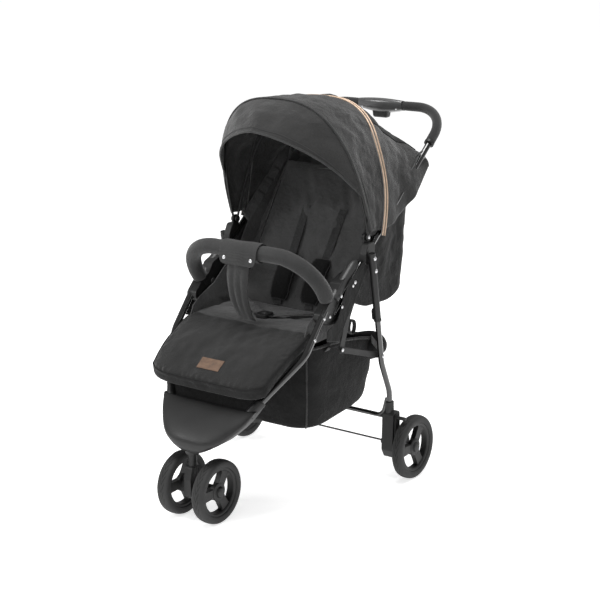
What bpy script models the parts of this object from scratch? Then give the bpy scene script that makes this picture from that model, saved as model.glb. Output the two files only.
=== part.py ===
"""Three-wheel stroller: main tube frame, folding rear legs, swivel front wheels, canopy and soft goods.

Metres, +Z up, floor at z = 0. The child faces -Y, the child's left side is +X.
"""
import math

import bpy
import bmesh
from mathutils import Matrix, Vector

# clearances
GAP = 0.0003
RUN = 0.0010

# middle of the overall length, moved over the origin at the end
MIDDLE_Y = 0.1195

# side frame: y, z points of the side view
SLOPE = math.radians(39.8)
HANDLE_X = 0.222
HANDLE_R = 0.0085
HANDLE_LOW = (0.006, 0.5225)
HANDLE_LEN = 0.743
HANDLE_CORNER = 0.100
GRIP_R = 0.0135
GRIP_BELOW = 0.030
CONSOLE_HALF = 0.074
CONSOLE_BELOW = 0.021
TRIGGER_HALF = 0.022
TRIGGER_HIGH = 0.014
TRIGGER_TRAVEL = 0.0045
GRIP_START = HANDLE_LEN - HANDLE_CORNER - GRIP_BELOW

FRONT_R = 0.0095
FRONT_TOP = (0.220, -0.022, 0.5365)
FRONT_BEND = (0.219, -0.110, 0.431)
FRONT_COLLAR = (0.150, -0.199, 0.326)
FRONT_IN = 0.030

LEG_X = 0.2505
LEG_R = 0.008
LEG_PIVOT = (0.1508, 0.6490)
LINK_REAR = (0.199, 0.370)
LINK_FRONT = (0.0300, 0.4240)
SEAT_PIVOT = (0.0913, 0.5938)
LEG_JOG = (0.203, 0.349)
LEG_HEEL = (0.245, 0.258)
LEG_FOOT = (0.252, 0.150)
PIN_R = 0.003
HEAD_R = 0.0055

# wheels
REAR_WHEEL_R = 0.090
REAR_WHEEL_W = 0.032
REAR_WHEEL = (0.296, 0.300)
FRONT_WHEEL_R = 0.085
FRONT_WHEEL_W = 0.036
FRONT_WHEEL = (0.058, -0.274)
CASTER_Y = -0.298
AXLE_R = 0.005
WHEEL_STEPS = 28
SPOKE_TURN = math.radians(60.0)

# bumper bar
BUMPER_END = (0.2125, -0.003, 0.564)
BUMPER_TILT = math.radians(56.8)
BUMPER_REACH = 0.135
BUMPER_CORNER = 0.110
BUMPER_R = 0.021
BUMPER_CORE = 0.011
COVER_HALF = 0.062
COVER_R = 0.0245
STRAP_END = (-0.062, 0.4905)

# canopy
CANOPY_PIVOT = (0.165, 0.700)
BOW_W = 0.232
BOW_H = 0.370
BOW_P = 0.76
FRONT_LEAN = math.radians(-15.9)
MID_LEAN = math.radians(18.0)
CLOTH = 0.0016
HEM = math.radians(2.2)
FRONT_EYE = (0.2240, 0.2300)
MID_EYE = (0.2110, 0.2164)
FRONT_INSET = 0.0047
MID_INSET = 0.0183
FOOT_DRAW = (MID_EYE[0] + MID_EYE[1]) / 2 - (BOW_W - MID_INSET)
REAR_HEM_X = HANDLE_X + 0.013
REAR_RUN = 0.046
REAR_RISE = 0.118
REAR_SHOULDER = 0.42
HEM_BELOW_GRIP = 0.0594
HEM_DROP = 0.0323
HEM_ALONG = GRIP_START - HEM_BELOW_GRIP
REAR_HEM = (
    HANDLE_LOW[0] + HEM_ALONG * math.cos(SLOPE) + HEM_DROP * math.sin(SLOPE),
    HANDLE_LOW[1] + HEM_ALONG * math.sin(SLOPE) - HEM_DROP * math.cos(SLOPE),
)
VISOR_START = math.radians(20.0)

# seat
SEAT_TOP = 0.486
SEAT_THICK = 0.034
SEAT_FRONT = -0.052
SEAT_REAR = 0.1408
SAG = 0.006
BACK_SEAM = (0.1345, 0.469)
RECLINE_AXIS = (0.1385, 0.460)
BACK_ANGLE = math.radians(58.0)
BACK_LEN = 0.440
BACK_THICK = 0.028
PAD_RISE = 0.0063
LABEL_RISE = 0.0126
LEGREST_PIVOT = (-0.0481, 0.4675)
EDGE_GROW = 0.45
PAD_X = 0.052
PAD_START = 0.034
PAD_LEN = 0.118
BUCKLE_Y = 0.010
BUCKLE_Z = 0.4799
BUCKLE_THICK = 0.012
KNOB_R = 0.0088
SIDE_OUTLINE = [
    (-0.045, 0.486), (-0.030, 0.500), (0.030, 0.545), (0.120, 0.618), (0.165, 0.640), (0.150, 0.575),
    (0.075, 0.495),
    (0.035, 0.442), (-0.052, 0.446),
]
SKIRT_LOW = 0.506
LABEL_X = 0.0

# hubs, hood clips and the sockets in them (side-view outlines)
HUB_IN = 0.1975
HUB_OUT = 0.2325
HUB_OUTLINE = [
    (-0.041, 0.529), (-0.0173, 0.5529), (0.0179, 0.5758), (0.034, 0.600), (0.074, 0.616), (0.101, 0.619),
    (0.115, 0.600), (0.108, 0.578), (0.070, 0.548), (0.036, 0.512), (0.012, 0.497), (-0.020, 0.499),
    (-0.041, 0.511),
]
ARM_X = 0.205
ARM_R = 0.0118
ARM_LOW = (0.050, 0.566)
ARM_TOP = (0.138, 0.639)
PLUG_LEN = 0.028
SIDE_THICK = 0.0032
SIDE_IN = ARM_X - ARM_R - GAP - SIDE_THICK
SEAT_HALF = SIDE_IN + 0.0011
BACK_HALF = SEAT_HALF - 0.0068
BUTTON_AT = (0.034, 0.548)
BUTTON_R = 0.0085
CLIP_IN = 0.2185
CLIP_OUT = 0.2400
CLIP_OUTLINE = [(0.132, 0.632), (0.155, 0.628), (0.178, 0.650), (0.182, 0.688), (0.150, 0.688),
                (0.136, 0.660)]
LUG_IN = 0.2178
LUG_OUT = 0.2234
LUG_OUTLINE = [(0.148, 0.662), (0.178, 0.662), (0.178, 0.712), (0.152, 0.712)]

# front tube collars, nose shell rows (height, half-width, front, side edge, back) and caster fork
FRONT_REACH = math.dist(FRONT_COLLAR, FRONT_BEND)
FRONT_END = tuple(
    FRONT_COLLAR[i] + (FRONT_COLLAR[i] - FRONT_BEND[i]) * FRONT_IN / FRONT_REACH for i in range(3)
)
COLLAR_R = 0.0142
COLLAR_END = tuple(
    FRONT_COLLAR[i] + (FRONT_COLLAR[i] - FRONT_BEND[i]) * 0.052 / FRONT_REACH for i in range(3)
)
NOSE_POWER = 3.0
NOSE_ROWS = [
    (0.190, 0.022, -0.318, -0.300, -0.278),
    (0.198, 0.036, -0.324, -0.300, -0.270),
    (0.208, 0.052, -0.327, -0.298, -0.262),
    (0.225, 0.082, -0.323, -0.285, -0.250),
    (0.246, 0.108, -0.306, -0.266, -0.236),
    (0.273, 0.132, -0.276, -0.246, -0.214),
    (0.304, 0.152, -0.240, -0.230, -0.192),
]
STEM_R = 0.0108
STEM_TOP = 0.222
FORK_OUTLINE = [
    (-0.318, 0.148), (-0.335, 0.122), (-0.343, 0.086), (-0.335, 0.058), (-0.308, 0.045), (-0.270, 0.058),
    (-0.252, 0.085), (-0.262, 0.112), (-0.280, 0.148),
]
FORK_BOSS = FRONT_WHEEL[0] - FRONT_WHEEL_W / 2 * 0.62 - RUN
FRONT_AXLE_END = FRONT_WHEEL[0] + FRONT_WHEEL_W / 2 + 0.001

# links, seat bars, wheel brackets and brake
LINK_IN = 0.2385
LINK_OUT = 0.2412
BAR_IN = 0.2343
BAR_OUT = 0.2378
BRACKET_IN = 0.2345
BRACKET_OUT = 0.2700
BRACKET_OUTLINE = [
    (0.236, 0.200), (0.270, 0.200), (0.272, 0.152), (0.316, 0.128), (0.326, 0.092), (0.316, 0.066),
    (0.288, 0.056),
    (0.248, 0.064), (0.234, 0.088),
]
REAR_AXLE_END = REAR_WHEEL[0] + REAR_WHEEL_W / 2 + 0.001
CROSS_AT = (0.242, 0.1845)
CROSS_HALF = BRACKET_IN - GAP
BRAKE_AT = (0.248, 0.110)
ROD_R = 0.0025
RIM_FRONT = -0.052
RIM_REAR = 0.300
RIM_HALF = 0.190
SQUARE = 0.36
LEG_TILT = math.atan2(LEG_JOG[0] - LEG_PIVOT[0], LEG_PIVOT[1] - LEG_JOG[1])
STRAP_Z = 0.400
PEDAL_IN = BRACKET_OUT + RUN
PEDAL_OUT = PEDAL_IN + 0.004
ROD_HALF = PEDAL_OUT - 0.001
FOOT_BAR_AT = (0.250, 0.1840)
FOOT_BAR_END = 0.303

for old in list(bpy.data.objects):
    bpy.data.objects.remove(old, do_unlink=True)
PARTS = bpy.data.collections.new("stroller")
CUTTERS = bpy.data.collections.new("stroller_cutters")
bpy.context.scene.collection.children.link(PARTS)
bpy.context.scene.collection.children.link(CUTTERS)

MATERIALS = {}
LOOKS = {
    "gloss_black": ((0.012, 0.012, 0.013), 0.22, 0.6),
    "matte_black": ((0.020, 0.020, 0.021), 0.55, 0.0),
    "tyre_black": ((0.016, 0.016, 0.017), 0.75, 0.0),
    "foam_black": ((0.022, 0.022, 0.022), 0.90, 0.0),
    "charcoal": ((0.040, 0.040, 0.042), 0.92, 0.0),
    "seat_black": ((0.018, 0.018, 0.019), 0.93, 0.0),
    "steel": ((0.62, 0.62, 0.63), 0.30, 1.0),
    "leather": ((0.42, 0.20, 0.08), 0.60, 0.0),
    "button_grey": ((0.060, 0.060, 0.062), 0.45, 0.0),
}


def paint(name):
    """One Principled material for one node."""
    colour, rough, metal = LOOKS[name]
    key = name + str(len(MATERIALS))
    made = bpy.data.materials.new(key)
    made.use_nodes = True
    shader = made.node_tree.nodes["Principled BSDF"]
    shader.inputs["Base Color"].default_value = (*colour, 1.0)
    shader.inputs["Roughness"].default_value = rough
    shader.inputs["Metallic"].default_value = metal
    made.diffuse_color = (*colour, 1.0)
    MATERIALS[key] = made
    return made


def add_object(name, data, look=None):
    """Link a node (with a look) or a cutter (without one)."""
    made = bpy.data.objects.new(name, data)
    if look is None:
        CUTTERS.objects.link(made)
        made.hide_render = True
        made.display_type = "WIRE"
    else:
        PARTS.objects.link(made)
        data.materials.append(paint(look))
    return made


def set_origin(thing, point):
    """Move the origin of a mesh node onto a point of its joint axis."""
    here = Vector(point)
    back = thing.matrix_world.inverted() @ here
    thing.data.transform(Matrix.Translation(-back))
    thing.location = here
    return thing


def face_out(bm):
    """Turn every face outwards."""
    bmesh.ops.recalc_face_normals(bm, faces=bm.faces[:])
    if bm.calc_volume(signed=True) < 0:
        bmesh.ops.reverse_faces(bm, faces=bm.faces[:])


def from_bm(name, bm, look=None, smooth=False):
    face_out(bm)
    data = bpy.data.meshes.new(name)
    bm.to_mesh(data)
    bm.free()
    if smooth:
        data.shade_smooth()
    return add_object(name, data, look)


def to_mesh(curve_object, name, look=None):
    """Turn a curve into a welded mesh that modifiers can cut."""
    bpy.context.view_layer.update()
    graph = bpy.context.evaluated_depsgraph_get()
    data = bpy.data.meshes.new_from_object(curve_object.evaluated_get(graph))
    data.transform(curve_object.matrix_world)
    data.materials.clear()
    bm = bmesh.new()
    bm.from_mesh(data)
    bmesh.ops.remove_doubles(bm, verts=bm.verts[:], dist=0.00001)
    face_out(bm)
    bm.to_mesh(data)
    bm.free()
    bpy.data.objects.remove(curve_object, do_unlink=True)
    return add_object(name, data, look)


def rounded(points, radii, steps):
    """Polyline through points with each inner corner turned into an arc."""
    spots = [Vector(p) for p in points]
    out = [spots[0]]
    for i in range(1, len(spots) - 1):
        before = (spots[i - 1] - spots[i]).normalized()
        after = (spots[i + 1] - spots[i]).normalized()
        turn = before.angle(after)
        radius = radii[i - 1]
        reach = radius / math.tan(turn / 2)
        start = spots[i] + before * reach
        end = spots[i] + after * reach
        centre = spots[i] + (before + after).normalized() * (radius / math.sin(turn / 2))
        a = start - centre
        b = end - centre
        sweep = a.angle(b)
        for k in range(steps + 1):
            t = k / steps
            w0 = math.sin((1 - t) * sweep) / math.sin(sweep)
            w1 = math.sin(t * sweep) / math.sin(sweep)
            out.append(centre + a * w0 + b * w1)
    out.append(spots[-1])
    return out


def curve_tube(name, points, radius, look=None, caps=True, sides=10, loop=False):
    """Round tube along a polyline."""
    data = bpy.data.curves.new(name, "CURVE")
    data.dimensions = "3D"
    data.bevel_depth = radius
    data.bevel_resolution = sides // 2 - 2
    data.render_resolution_u = 0
    data.use_fill_caps = caps
    line = data.splines.new("POLY")
    line.points.add(len(points) - 1)
    for spot, p in zip(line.points, points):
        spot.co = (*p, 1.0)
    line.use_cyclic_u = loop
    made = add_object(name, data, look)
    if look and caps:
        weld = made.modifiers.new("closed ends", "WELD")
        weld.merge_threshold = 0.00001
    return made


def mesh_tube(name, points, radius, look=None, sides=10):
    return to_mesh(curve_tube(name + "_line", points, radius, None, True, sides), name, look)


def pocket_tube(name, points, radius, extra=GAP):
    """Cutter for a tube's seat, a little longer than the tube at both ends."""
    spots = [Vector(p) for p in points]
    spots[0] = spots[0] + (spots[0] - spots[1]).normalized() * extra
    spots[-1] = spots[-1] + (spots[-1] - spots[-2]).normalized() * extra
    return mesh_tube(name, spots, radius)


def arc2d(centre, radius, start, end, steps):
    out = []
    for k in range(steps + 1):
        a = start + (end - start) * k / steps
        out.append((centre[0] + radius * math.cos(a), centre[1] + radius * math.sin(a)))
    return out


def soften(points, radius, steps=2):
    """Closed outline with every corner turned into an arc."""
    count = len(points)
    out = []
    for i in range(count):
        p = Vector(points[i])
        a = Vector(points[i - 1]) - p
        b = Vector(points[(i + 1) % count]) - p
        turn = a.angle(b)
        if turn > 2.75:
            out.append((p[0], p[1]))
            continue
        reach = min(radius / math.tan(turn / 2), a.length * 0.45, b.length * 0.45)
        r = reach * math.tan(turn / 2)
        centre = p + (a.normalized() + b.normalized()).normalized() * (r / math.sin(turn / 2))
        s = p + a.normalized() * reach - centre
        e = p + b.normalized() * reach - centre
        sweep = s.angle(e)
        for k in range(steps + 1):
            t = k / steps
            if sweep < 0.01:
                q = centre + s
            else:
                q = centre + (s * math.sin((1 - t) * sweep) + e * math.sin(t * sweep)) / math.sin(sweep)
            out.append((q[0], q[1]))
    return out


FACING = {
    "YZ": Matrix(((0, 0, 1), (1, 0, 0), (0, 1, 0))),
    "XY": Matrix.Identity(3),
    "XZ": Matrix(((1, 0, 0), (0, 0, 1), (0, 1, 0))),
}


def plate(name, outlines, low, high, look=None, facing="YZ", edge=0.0):
    """Flat outline (with holes) filled and extruded between two levels."""
    data = bpy.data.curves.new(name + "_outline", "CURVE")
    data.dimensions = "2D"
    data.fill_mode = "BOTH"
    data.extrude = (high - low) / 2
    data.render_resolution_u = 0
    for points in outlines:
        line = data.splines.new("POLY")
        line.points.add(len(points) - 1)
        for spot, p in zip(line.points, points):
            spot.co = (p[0], p[1], 0.0, 1.0)
        line.use_cyclic_u = True
    flat = add_object(name + "_outline", data)
    turn = FACING[facing].to_4x4()
    flat.matrix_world = turn @ Matrix.Translation((0, 0, (high + low) / 2))
    made = to_mesh(flat, name, look)
    if edge:
        round_edges(made, edge)
    return made


def round_edges(thing, width, segments=1, angle=40):
    bevel = thing.modifiers.new("rounded", "BEVEL")
    bevel.width = width
    bevel.segments = segments
    bevel.limit_method = "ANGLE"
    bevel.angle_limit = math.radians(angle)
    bevel.use_clamp_overlap = True
    return thing


def boolean(thing, other, how):
    step = thing.modifiers.new(how.lower(), "BOOLEAN")
    step.operation = how
    step.solver = "EXACT"
    step.object = other
    return thing


def cut(thing, other):
    return boolean(thing, other, "DIFFERENCE")


def fuse(thing, other):
    return boolean(thing, other, "UNION")


def cylinder(name, start, end, radius, look=None, sides=16, radius_end=None):
    """Straight round bar between two points."""
    a = Vector(start)
    b = Vector(end)
    bm = bmesh.new()
    bmesh.ops.create_cone(bm, cap_ends=True, segments=sides, radius1=radius,
                          radius2=radius if radius_end is None else radius_end, depth=(b - a).length)
    turn = (b - a).to_track_quat("Z", "Y").to_matrix().to_4x4()
    bm.transform(Matrix.Translation((a + b) / 2) @ turn)
    return from_bm(name, bm, look)


def box(name, low, high, look=None):
    bm = bmesh.new()
    bmesh.ops.create_cube(bm, size=1.0)
    size = Vector(high) - Vector(low)
    middle = (Vector(high) + Vector(low)) / 2
    bm.transform(Matrix.Translation(middle) @ Matrix.Diagonal((*size, 1.0)))
    return from_bm(name, bm, look)


def sheet(name, rows, look, thick, levels=0, offset=0.0, mirror=False):
    """Open grid of points given a thickness, optionally smoothed."""
    bm = bmesh.new()
    grid = [[bm.verts.new(p) for p in row] for row in rows]
    for i in range(len(rows) - 1):
        for j in range(len(rows[0]) - 1):
            bm.faces.new((grid[i][j], grid[i + 1][j], grid[i + 1][j + 1], grid[i][j + 1]))
    made = from_bm(name, bm, look)
    if mirror:
        half = made.modifiers.new("both sides", "MIRROR")
        half.use_axis = (True, False, False)
        half.merge_threshold = 0.0001
        half.use_clip = True
    if levels:
        soft = made.modifiers.new("soft", "SUBSURF")
        soft.levels = levels
        soft.render_levels = levels
    wall = made.modifiers.new("wall", "SOLIDIFY")
    wall.thickness = thick
    wall.offset = offset
    wall.use_even_offset = True
    return made


def loft(name, rings, look=None):
    """Closed skin through rings of equal point count, capped at both ends."""
    bm = bmesh.new()
    made = [[bm.verts.new(p) for p in ring] for ring in rings]
    count = len(rings[0])
    for a, b in zip(made[:-1], made[1:]):
        for j in range(count):
            k = (j + 1) % count
            bm.faces.new((a[j], a[k], b[k], b[j]))
    bm.faces.new(made[0])
    bm.faces.new(made[-1])
    return from_bm(name, bm, look)


def smooth(thing, levels):
    soft = thing.modifiers.new("soft", "SUBSURF")
    soft.levels = levels
    soft.render_levels = levels
    return thing


def both(maker):
    """Build a left (+X) and a right (-X) node."""
    for letter, s in (("l", 1.0), ("r", -1.0)):
        maker(letter, s)


def side(s, point3):
    return (s * point3[0], point3[1], point3[2])


def along_handle(distance, drop=0.0):
    """Side-view point on the handle tube, measured from its lower end."""
    y = HANDLE_LOW[0] + math.cos(SLOPE) * distance + math.sin(SLOPE) * drop
    z = HANDLE_LOW[1] + math.sin(SLOPE) * distance - math.cos(SLOPE) * drop
    return (y, z)


END_Y, END_Z = along_handle(HANDLE_LEN)
handle_line = rounded(
    [
        (HANDLE_X, *HANDLE_LOW),
        (HANDLE_X, END_Y, END_Z),
        (-HANDLE_X, END_Y, END_Z),
        (-HANDLE_X, *HANDLE_LOW),
    ],
    [HANDLE_CORNER, HANDLE_CORNER],
    5,
)


def frame_nodes():
    """Main frame: U handle tube, front tubes, side hubs and nose."""
    curve_tube("handle_tube", handle_line, HANDLE_R, "gloss_black")
    handle_cut = pocket_tube("handle_cut", handle_line, HANDLE_R + GAP)
    front_cuts = {}

    def front(letter, s):
        line = rounded([side(s, FRONT_TOP), side(s, FRONT_BEND), side(s, FRONT_END)], [0.10], 4)
        curve_tube("front_tube_" + letter, line, FRONT_R, "gloss_black")
        front_cuts[letter] = pocket_tube("front_cut_" + letter, line, FRONT_R + GAP)

    both(front)

    def hub(letter, s):
        low, high = sorted((s * HUB_IN, s * HUB_OUT))
        body = plate("hub_" + letter, [soften(HUB_OUTLINE, 0.010, 1)], low, high, "matte_black")
        round_edges(body, 0.0015)
        arm = cylinder("hub_arm_" + letter, (s * ARM_X, *ARM_LOW), (s * ARM_X, *ARM_TOP), ARM_R, sides=10)
        round_edges(arm, 0.004)
        fuse(body, arm)
        cut(body, handle_cut)
        cut(body, front_cuts[letter])
        plug = cylinder("bumper_bore_" + letter, socket_point(s, 0.006), socket_point(s, -PLUG_LEN - RUN),
                        BUMPER_CORE + GAP, sides=12)
        cut(body, plug)
        pin = cylinder("seat_pin_bore_" + letter, (s * (HUB_OUT - 0.0018), *SEAT_PIVOT),
                       (s * (HUB_OUT + 0.002), *SEAT_PIVOT), PIN_R + GAP, sides=8)
        cut(body, pin)
        knob = cylinder("button_bore_" + letter, (s * (HUB_IN - 0.003), *BUTTON_AT),
                        (s * (HUB_IN + 0.0032), *BUTTON_AT), BUTTON_R + GAP, sides=12)
        cut(body, knob)
        button = cylinder("bumper_button_" + letter, (s * (HUB_IN - 0.0022), *BUTTON_AT),
                          (s * (HUB_IN + 0.0003), *BUTTON_AT), BUTTON_R, "button_grey", sides=12)
        set_origin(button, (s * HUB_IN, *BUTTON_AT))

    both(hub)

    def hood_clip(letter, s):
        low, high = sorted((s * CLIP_IN, s * CLIP_OUT))
        body = plate("hood_clip_" + letter, [soften(CLIP_OUTLINE, 0.008)], low, high, "matte_black")
        round_edges(body, 0.0015)
        low, high = sorted((s * LUG_IN, s * LUG_OUT))
        lug = plate("hood_lug_" + letter, [soften(LUG_OUTLINE, 0.008)], low, high)
        fuse(body, lug)
        cut(body, handle_cut)
        bore = cylinder("leg_bore_" + letter, (s * (CLIP_OUT - 0.006), *LEG_PIVOT),
                        (s * (CLIP_OUT + 0.002), *LEG_PIVOT), PIN_R + GAP, sides=8)
        cut(body, bore)
        hole = cylinder("bow_bore_" + letter, (s * (LUG_IN - 0.002), *CANOPY_PIVOT),
                        (s * (LUG_OUT + 0.002), *CANOPY_PIVOT), PIN_R + GAP, sides=8)
        cut(body, hole)

    both(hood_clip)
    nose(front_cuts)


def socket_point(s, distance):
    """Point on the bumper socket axis, positive out of the socket."""
    x, y, z = BUMPER_END
    return (s * x, y - math.cos(BUMPER_TILT) * distance, z + math.sin(BUMPER_TILT) * distance)


def nose_ring(z, half, front, edge, back, inset):
    """Shield-shaped outline at one height."""
    half = half - inset
    front = front + inset
    back = back - inset
    ring = []
    steps = 10
    for k in range(steps + 1):
        u = -math.cos(math.pi * k / steps)
        bulge = (1 - abs(u) ** NOSE_POWER) ** (1 / NOSE_POWER)
        ring.append((half * u, edge - (edge - front) * bulge, z))
    ring.append((half * 0.97, back, z))
    ring.append((-half * 0.97, back, z))
    return ring


def nose(front_cuts):
    """Moulded front housing: shield shell, tube collars and swivel boss."""
    body = loft("nose_shell", [nose_ring(*row, 0.0) for row in NOSE_ROWS], "matte_black")
    inner_rows = [row for row in NOSE_ROWS if row[0] > 0.21]
    first = inner_rows[0]
    last = inner_rows[-1]
    inner_rows[0] = (first[0] + 0.004, *first[1:])
    inner_rows[-1] = (last[0] + 0.006, *last[1:])
    recess = loft("nose_recess", [nose_ring(*row, 0.0035) for row in inner_rows])
    cut(body, recess)
    for letter, s in (("l", 1.0), ("r", -1.0)):
        collar = cylinder("collar_" + letter, side(s, FRONT_COLLAR), side(s, COLLAR_END), COLLAR_R,
                          sides=16)
        fuse(body, collar)
        cut(body, front_cuts[letter])
    boss = cylinder("swivel_boss", (0, CASTER_Y, 0.184), (0, CASTER_Y, 0.232), 0.020, sides=14,
                    radius_end=0.018)
    fuse(body, boss)
    bore = cylinder("swivel_bore", (0, CASTER_Y, 0.180), (0, CASTER_Y, 0.226), STEM_R + GAP, sides=14)
    cut(body, bore)


def grip_line(s):
    """Centre line of one foam grip, from its lower end to the console."""
    start = Vector((HANDLE_X, *along_handle(GRIP_START)))
    bend = [p for p in handle_line if p.x > 0 and p.z > start.z]
    line = [start] + bend + [Vector((CONSOLE_HALF + GAP, END_Y, END_Z))]
    return [(s * p.x, p.y, p.z) for p in line]


def handle_nodes():
    """Foam grips, console and fold trigger on the handle bar."""
    for letter, s in (("l", 1.0), ("r", -1.0)):
        grip = curve_tube("grip_" + letter, grip_line(s), GRIP_R, "foam_black", caps=False)
        wall = grip.modifiers.new("wall", "SOLIDIFY")
        wall.thickness = (GRIP_R - HANDLE_R - GAP) * math.cos(math.pi / 10) - 0.0001
        wall.offset = -1.0
        wall.use_even_offset = True
    outline = soften([(END_Y - 0.022, END_Z - CONSOLE_BELOW),
                      (END_Y + 0.020, END_Z - CONSOLE_BELOW + 0.004),
                      (END_Y + 0.022, END_Z + 0.012), (END_Y - 0.014, END_Z + 0.018)], 0.011, 4)
    console = plate("console", [outline], -CONSOLE_HALF, CONSOLE_HALF, "matte_black")
    round_edges(console, 0.004, 2)
    cut(console, bpy.data.objects["handle_cut"])
    half = TRIGGER_HALF
    top = END_Z - HANDLE_R - GAP - TRIGGER_TRAVEL - RUN
    pocket = box("trigger_pocket", (-half - GAP, END_Y - 0.013 - GAP, END_Z - 0.040),
                 (half + GAP, END_Y + 0.009 + GAP, top + TRIGGER_TRAVEL + GAP))
    cut(console, pocket)
    trigger = box("fold_trigger", (-half, END_Y - 0.013, top - TRIGGER_HIGH),
                  (half, END_Y + 0.009, top), "button_grey")
    round_edges(trigger, 0.002)
    set_origin(trigger, (0, END_Y - 0.002, top - TRIGGER_HIGH / 2))


def leg_nodes():
    """Rear legs with their rivets, wheel brackets, cross tube, links and seat bars."""
    top = along_line(LEG_PIVOT, LEG_JOG, -0.014)

    def leg(letter, s):
        line = rounded([(s * LEG_X, *top), (s * LEG_X, *LEG_JOG), (s * LEG_X, *LEG_HEEL),
                        (s * LEG_X, *LEG_FOOT)],
                       [0.09, 0.07], 3)
        body = mesh_tube("rear_leg_" + letter, line, LEG_R, "gloss_black")
        sleeve = cylinder("leg_sleeve_" + letter, (s * LEG_X, *along_line(LEG_PIVOT, LEG_JOG, -0.018)),
                          (s * LEG_X, *along_line(LEG_PIVOT, LEG_JOG, 0.180)), LEG_R + 0.0018, sides=10)
        fuse(body, sleeve)
        outer = LEG_X + LEG_R + 0.0015
        profile = [(PIN_R, CLIP_OUT - 0.0052), (PIN_R, outer), (HEAD_R, outer), (HEAD_R, outer + 0.003)]
        pin = turned("leg_pin_" + letter, s, (0, *LEG_PIVOT), profile, 8)
        fuse(body, pin)
        low_pin = turned("link_pin_" + letter, s, (0, *LINK_REAR),
                         [(PIN_R, LEG_X), (PIN_R, outer - 0.001), (HEAD_R, outer - 0.001),
                          (HEAD_R, outer + 0.0018)], 8)
        fuse(body, low_pin)
        set_origin(body, (s * LEG_X, *LEG_PIVOT))
        leg_cut = pocket_tube("leg_cut_" + letter, line, LEG_R + GAP)
        bracket(letter, s, leg_cut)
        link(letter, s)
        seat_bar(letter, s)

    both(leg)
    cross = cylinder("cross_tube", (-CROSS_HALF, *CROSS_AT), (CROSS_HALF, *CROSS_AT), 0.0065,
                     "gloss_black", sides=12)
    set_origin(cross, (0, *CROSS_AT))


def along_line(a, b, distance):
    ay, az = a
    by, bz = b
    length = math.hypot(by - ay, bz - az)
    return (ay + (by - ay) * distance / length, az + (bz - az) * distance / length)


def turned(name, s, at, profile, steps, look=None):
    """Turned piece about an X axis; the profile lists radius and x from the inner end outwards."""
    data = bpy.data.meshes.new(name)
    rows = [(r, h) for r, h in reversed(profile)]
    spots = [(0.0, 0.0, rows[0][1])] + [(r, 0.0, h) for r, h in rows] + [(0.0, 0.0, rows[-1][1])]
    data.from_pydata(spots, [(i, i + 1) for i in range(len(spots) - 1)], [])
    made = add_object(name, data, look)
    spin(made, steps)
    turn = Matrix(((0, 0, s), (0, 1, 0), (-s, 0, 0))).to_4x4()
    made.matrix_world = Matrix.Translation(at) @ turn
    return made


def spin(made, steps):
    screw = made.modifiers.new("turned", "SCREW")
    screw.angle = math.tau
    screw.steps = steps
    screw.render_steps = steps
    screw.axis = "Z"
    screw.use_merge_vertices = True
    screw.merge_threshold = 0.00001
    screw.use_normal_calculate = True
    return made


def bracket(letter, s, leg_cut):
    low, high = sorted((s * BRACKET_IN, s * BRACKET_OUT))
    body = plate("wheel_bracket_" + letter, [soften(BRACKET_OUTLINE, 0.008)], low, high, "matte_black")
    round_edges(body, 0.002)
    boss = cylinder("brake_boss_" + letter, (s * (BRACKET_IN - 0.005), *BRAKE_AT),
                    (s * (BRACKET_IN + 0.004), *BRAKE_AT), 0.0085, sides=10)
    fuse(body, boss)
    axle = cylinder("rear_axle_" + letter, (s * (BRACKET_OUT - 0.004), REAR_WHEEL[1], REAR_WHEEL_R),
                    (s * REAR_AXLE_END, REAR_WHEEL[1], REAR_WHEEL_R), AXLE_R, sides=12)
    fuse(body, axle)
    cut(body, leg_cut)
    rod = cylinder("rod_bore_" + letter, (s * (BRACKET_IN - 0.008), *BRAKE_AT),
                   (s * (BRACKET_OUT + 0.003), *BRAKE_AT), ROD_R + GAP, sides=8)
    cut(body, rod)


def link(letter, s):
    low, high = sorted((s * LINK_IN, s * LINK_OUT))
    body = plate("link_bar_" + letter,
                 [slot_outline(LINK_FRONT, LINK_REAR, 0.008), ring2d(LINK_FRONT, PIN_R + GAP)],
                 low, high, "gloss_black")
    set_origin(body, (s * LINK_IN, *LINK_FRONT))


def seat_bar(letter, s):
    low, high = sorted((s * BAR_IN, s * BAR_OUT))
    body = plate("seat_bar_" + letter, [slot_outline(LINK_FRONT, SEAT_PIVOT, 0.0105)], low, high,
                 "gloss_black")
    profile = [(PIN_R, HUB_OUT - 0.0012), (PIN_R, BAR_IN + 0.001), (HEAD_R, BAR_IN + 0.001),
               (HEAD_R, BAR_OUT + 0.0025)]
    pin = turned("seat_pin_" + letter, s, (0, *SEAT_PIVOT), profile, 8)
    fuse(body, pin)
    low_pin = turned("bar_pin_" + letter, s, (0, *LINK_FRONT),
                     [(PIN_R, BAR_OUT - 0.001), (PIN_R, LINK_OUT + 0.0005), (HEAD_R, LINK_OUT + 0.0005),
                      (HEAD_R, LINK_OUT + 0.0025)], 8)
    fuse(body, low_pin)
    set_origin(body, (s * BAR_IN, *SEAT_PIVOT))


def slot_outline(a, b, radius):
    """Bar with round ends around two points."""
    angle = math.atan2(b[1] - a[1], b[0] - a[0])
    return (arc2d(a, radius, angle + math.pi / 2, angle + 1.5 * math.pi, 6)
            + arc2d(b, radius, angle - math.pi / 2, angle + math.pi / 2, 6))


def ring2d(centre, radius, count=8):
    return [(centre[0] + radius * math.cos(math.tau * k / count),
             centre[1] + radius * math.sin(math.tau * k / count))
            for k in range(count)]


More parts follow.
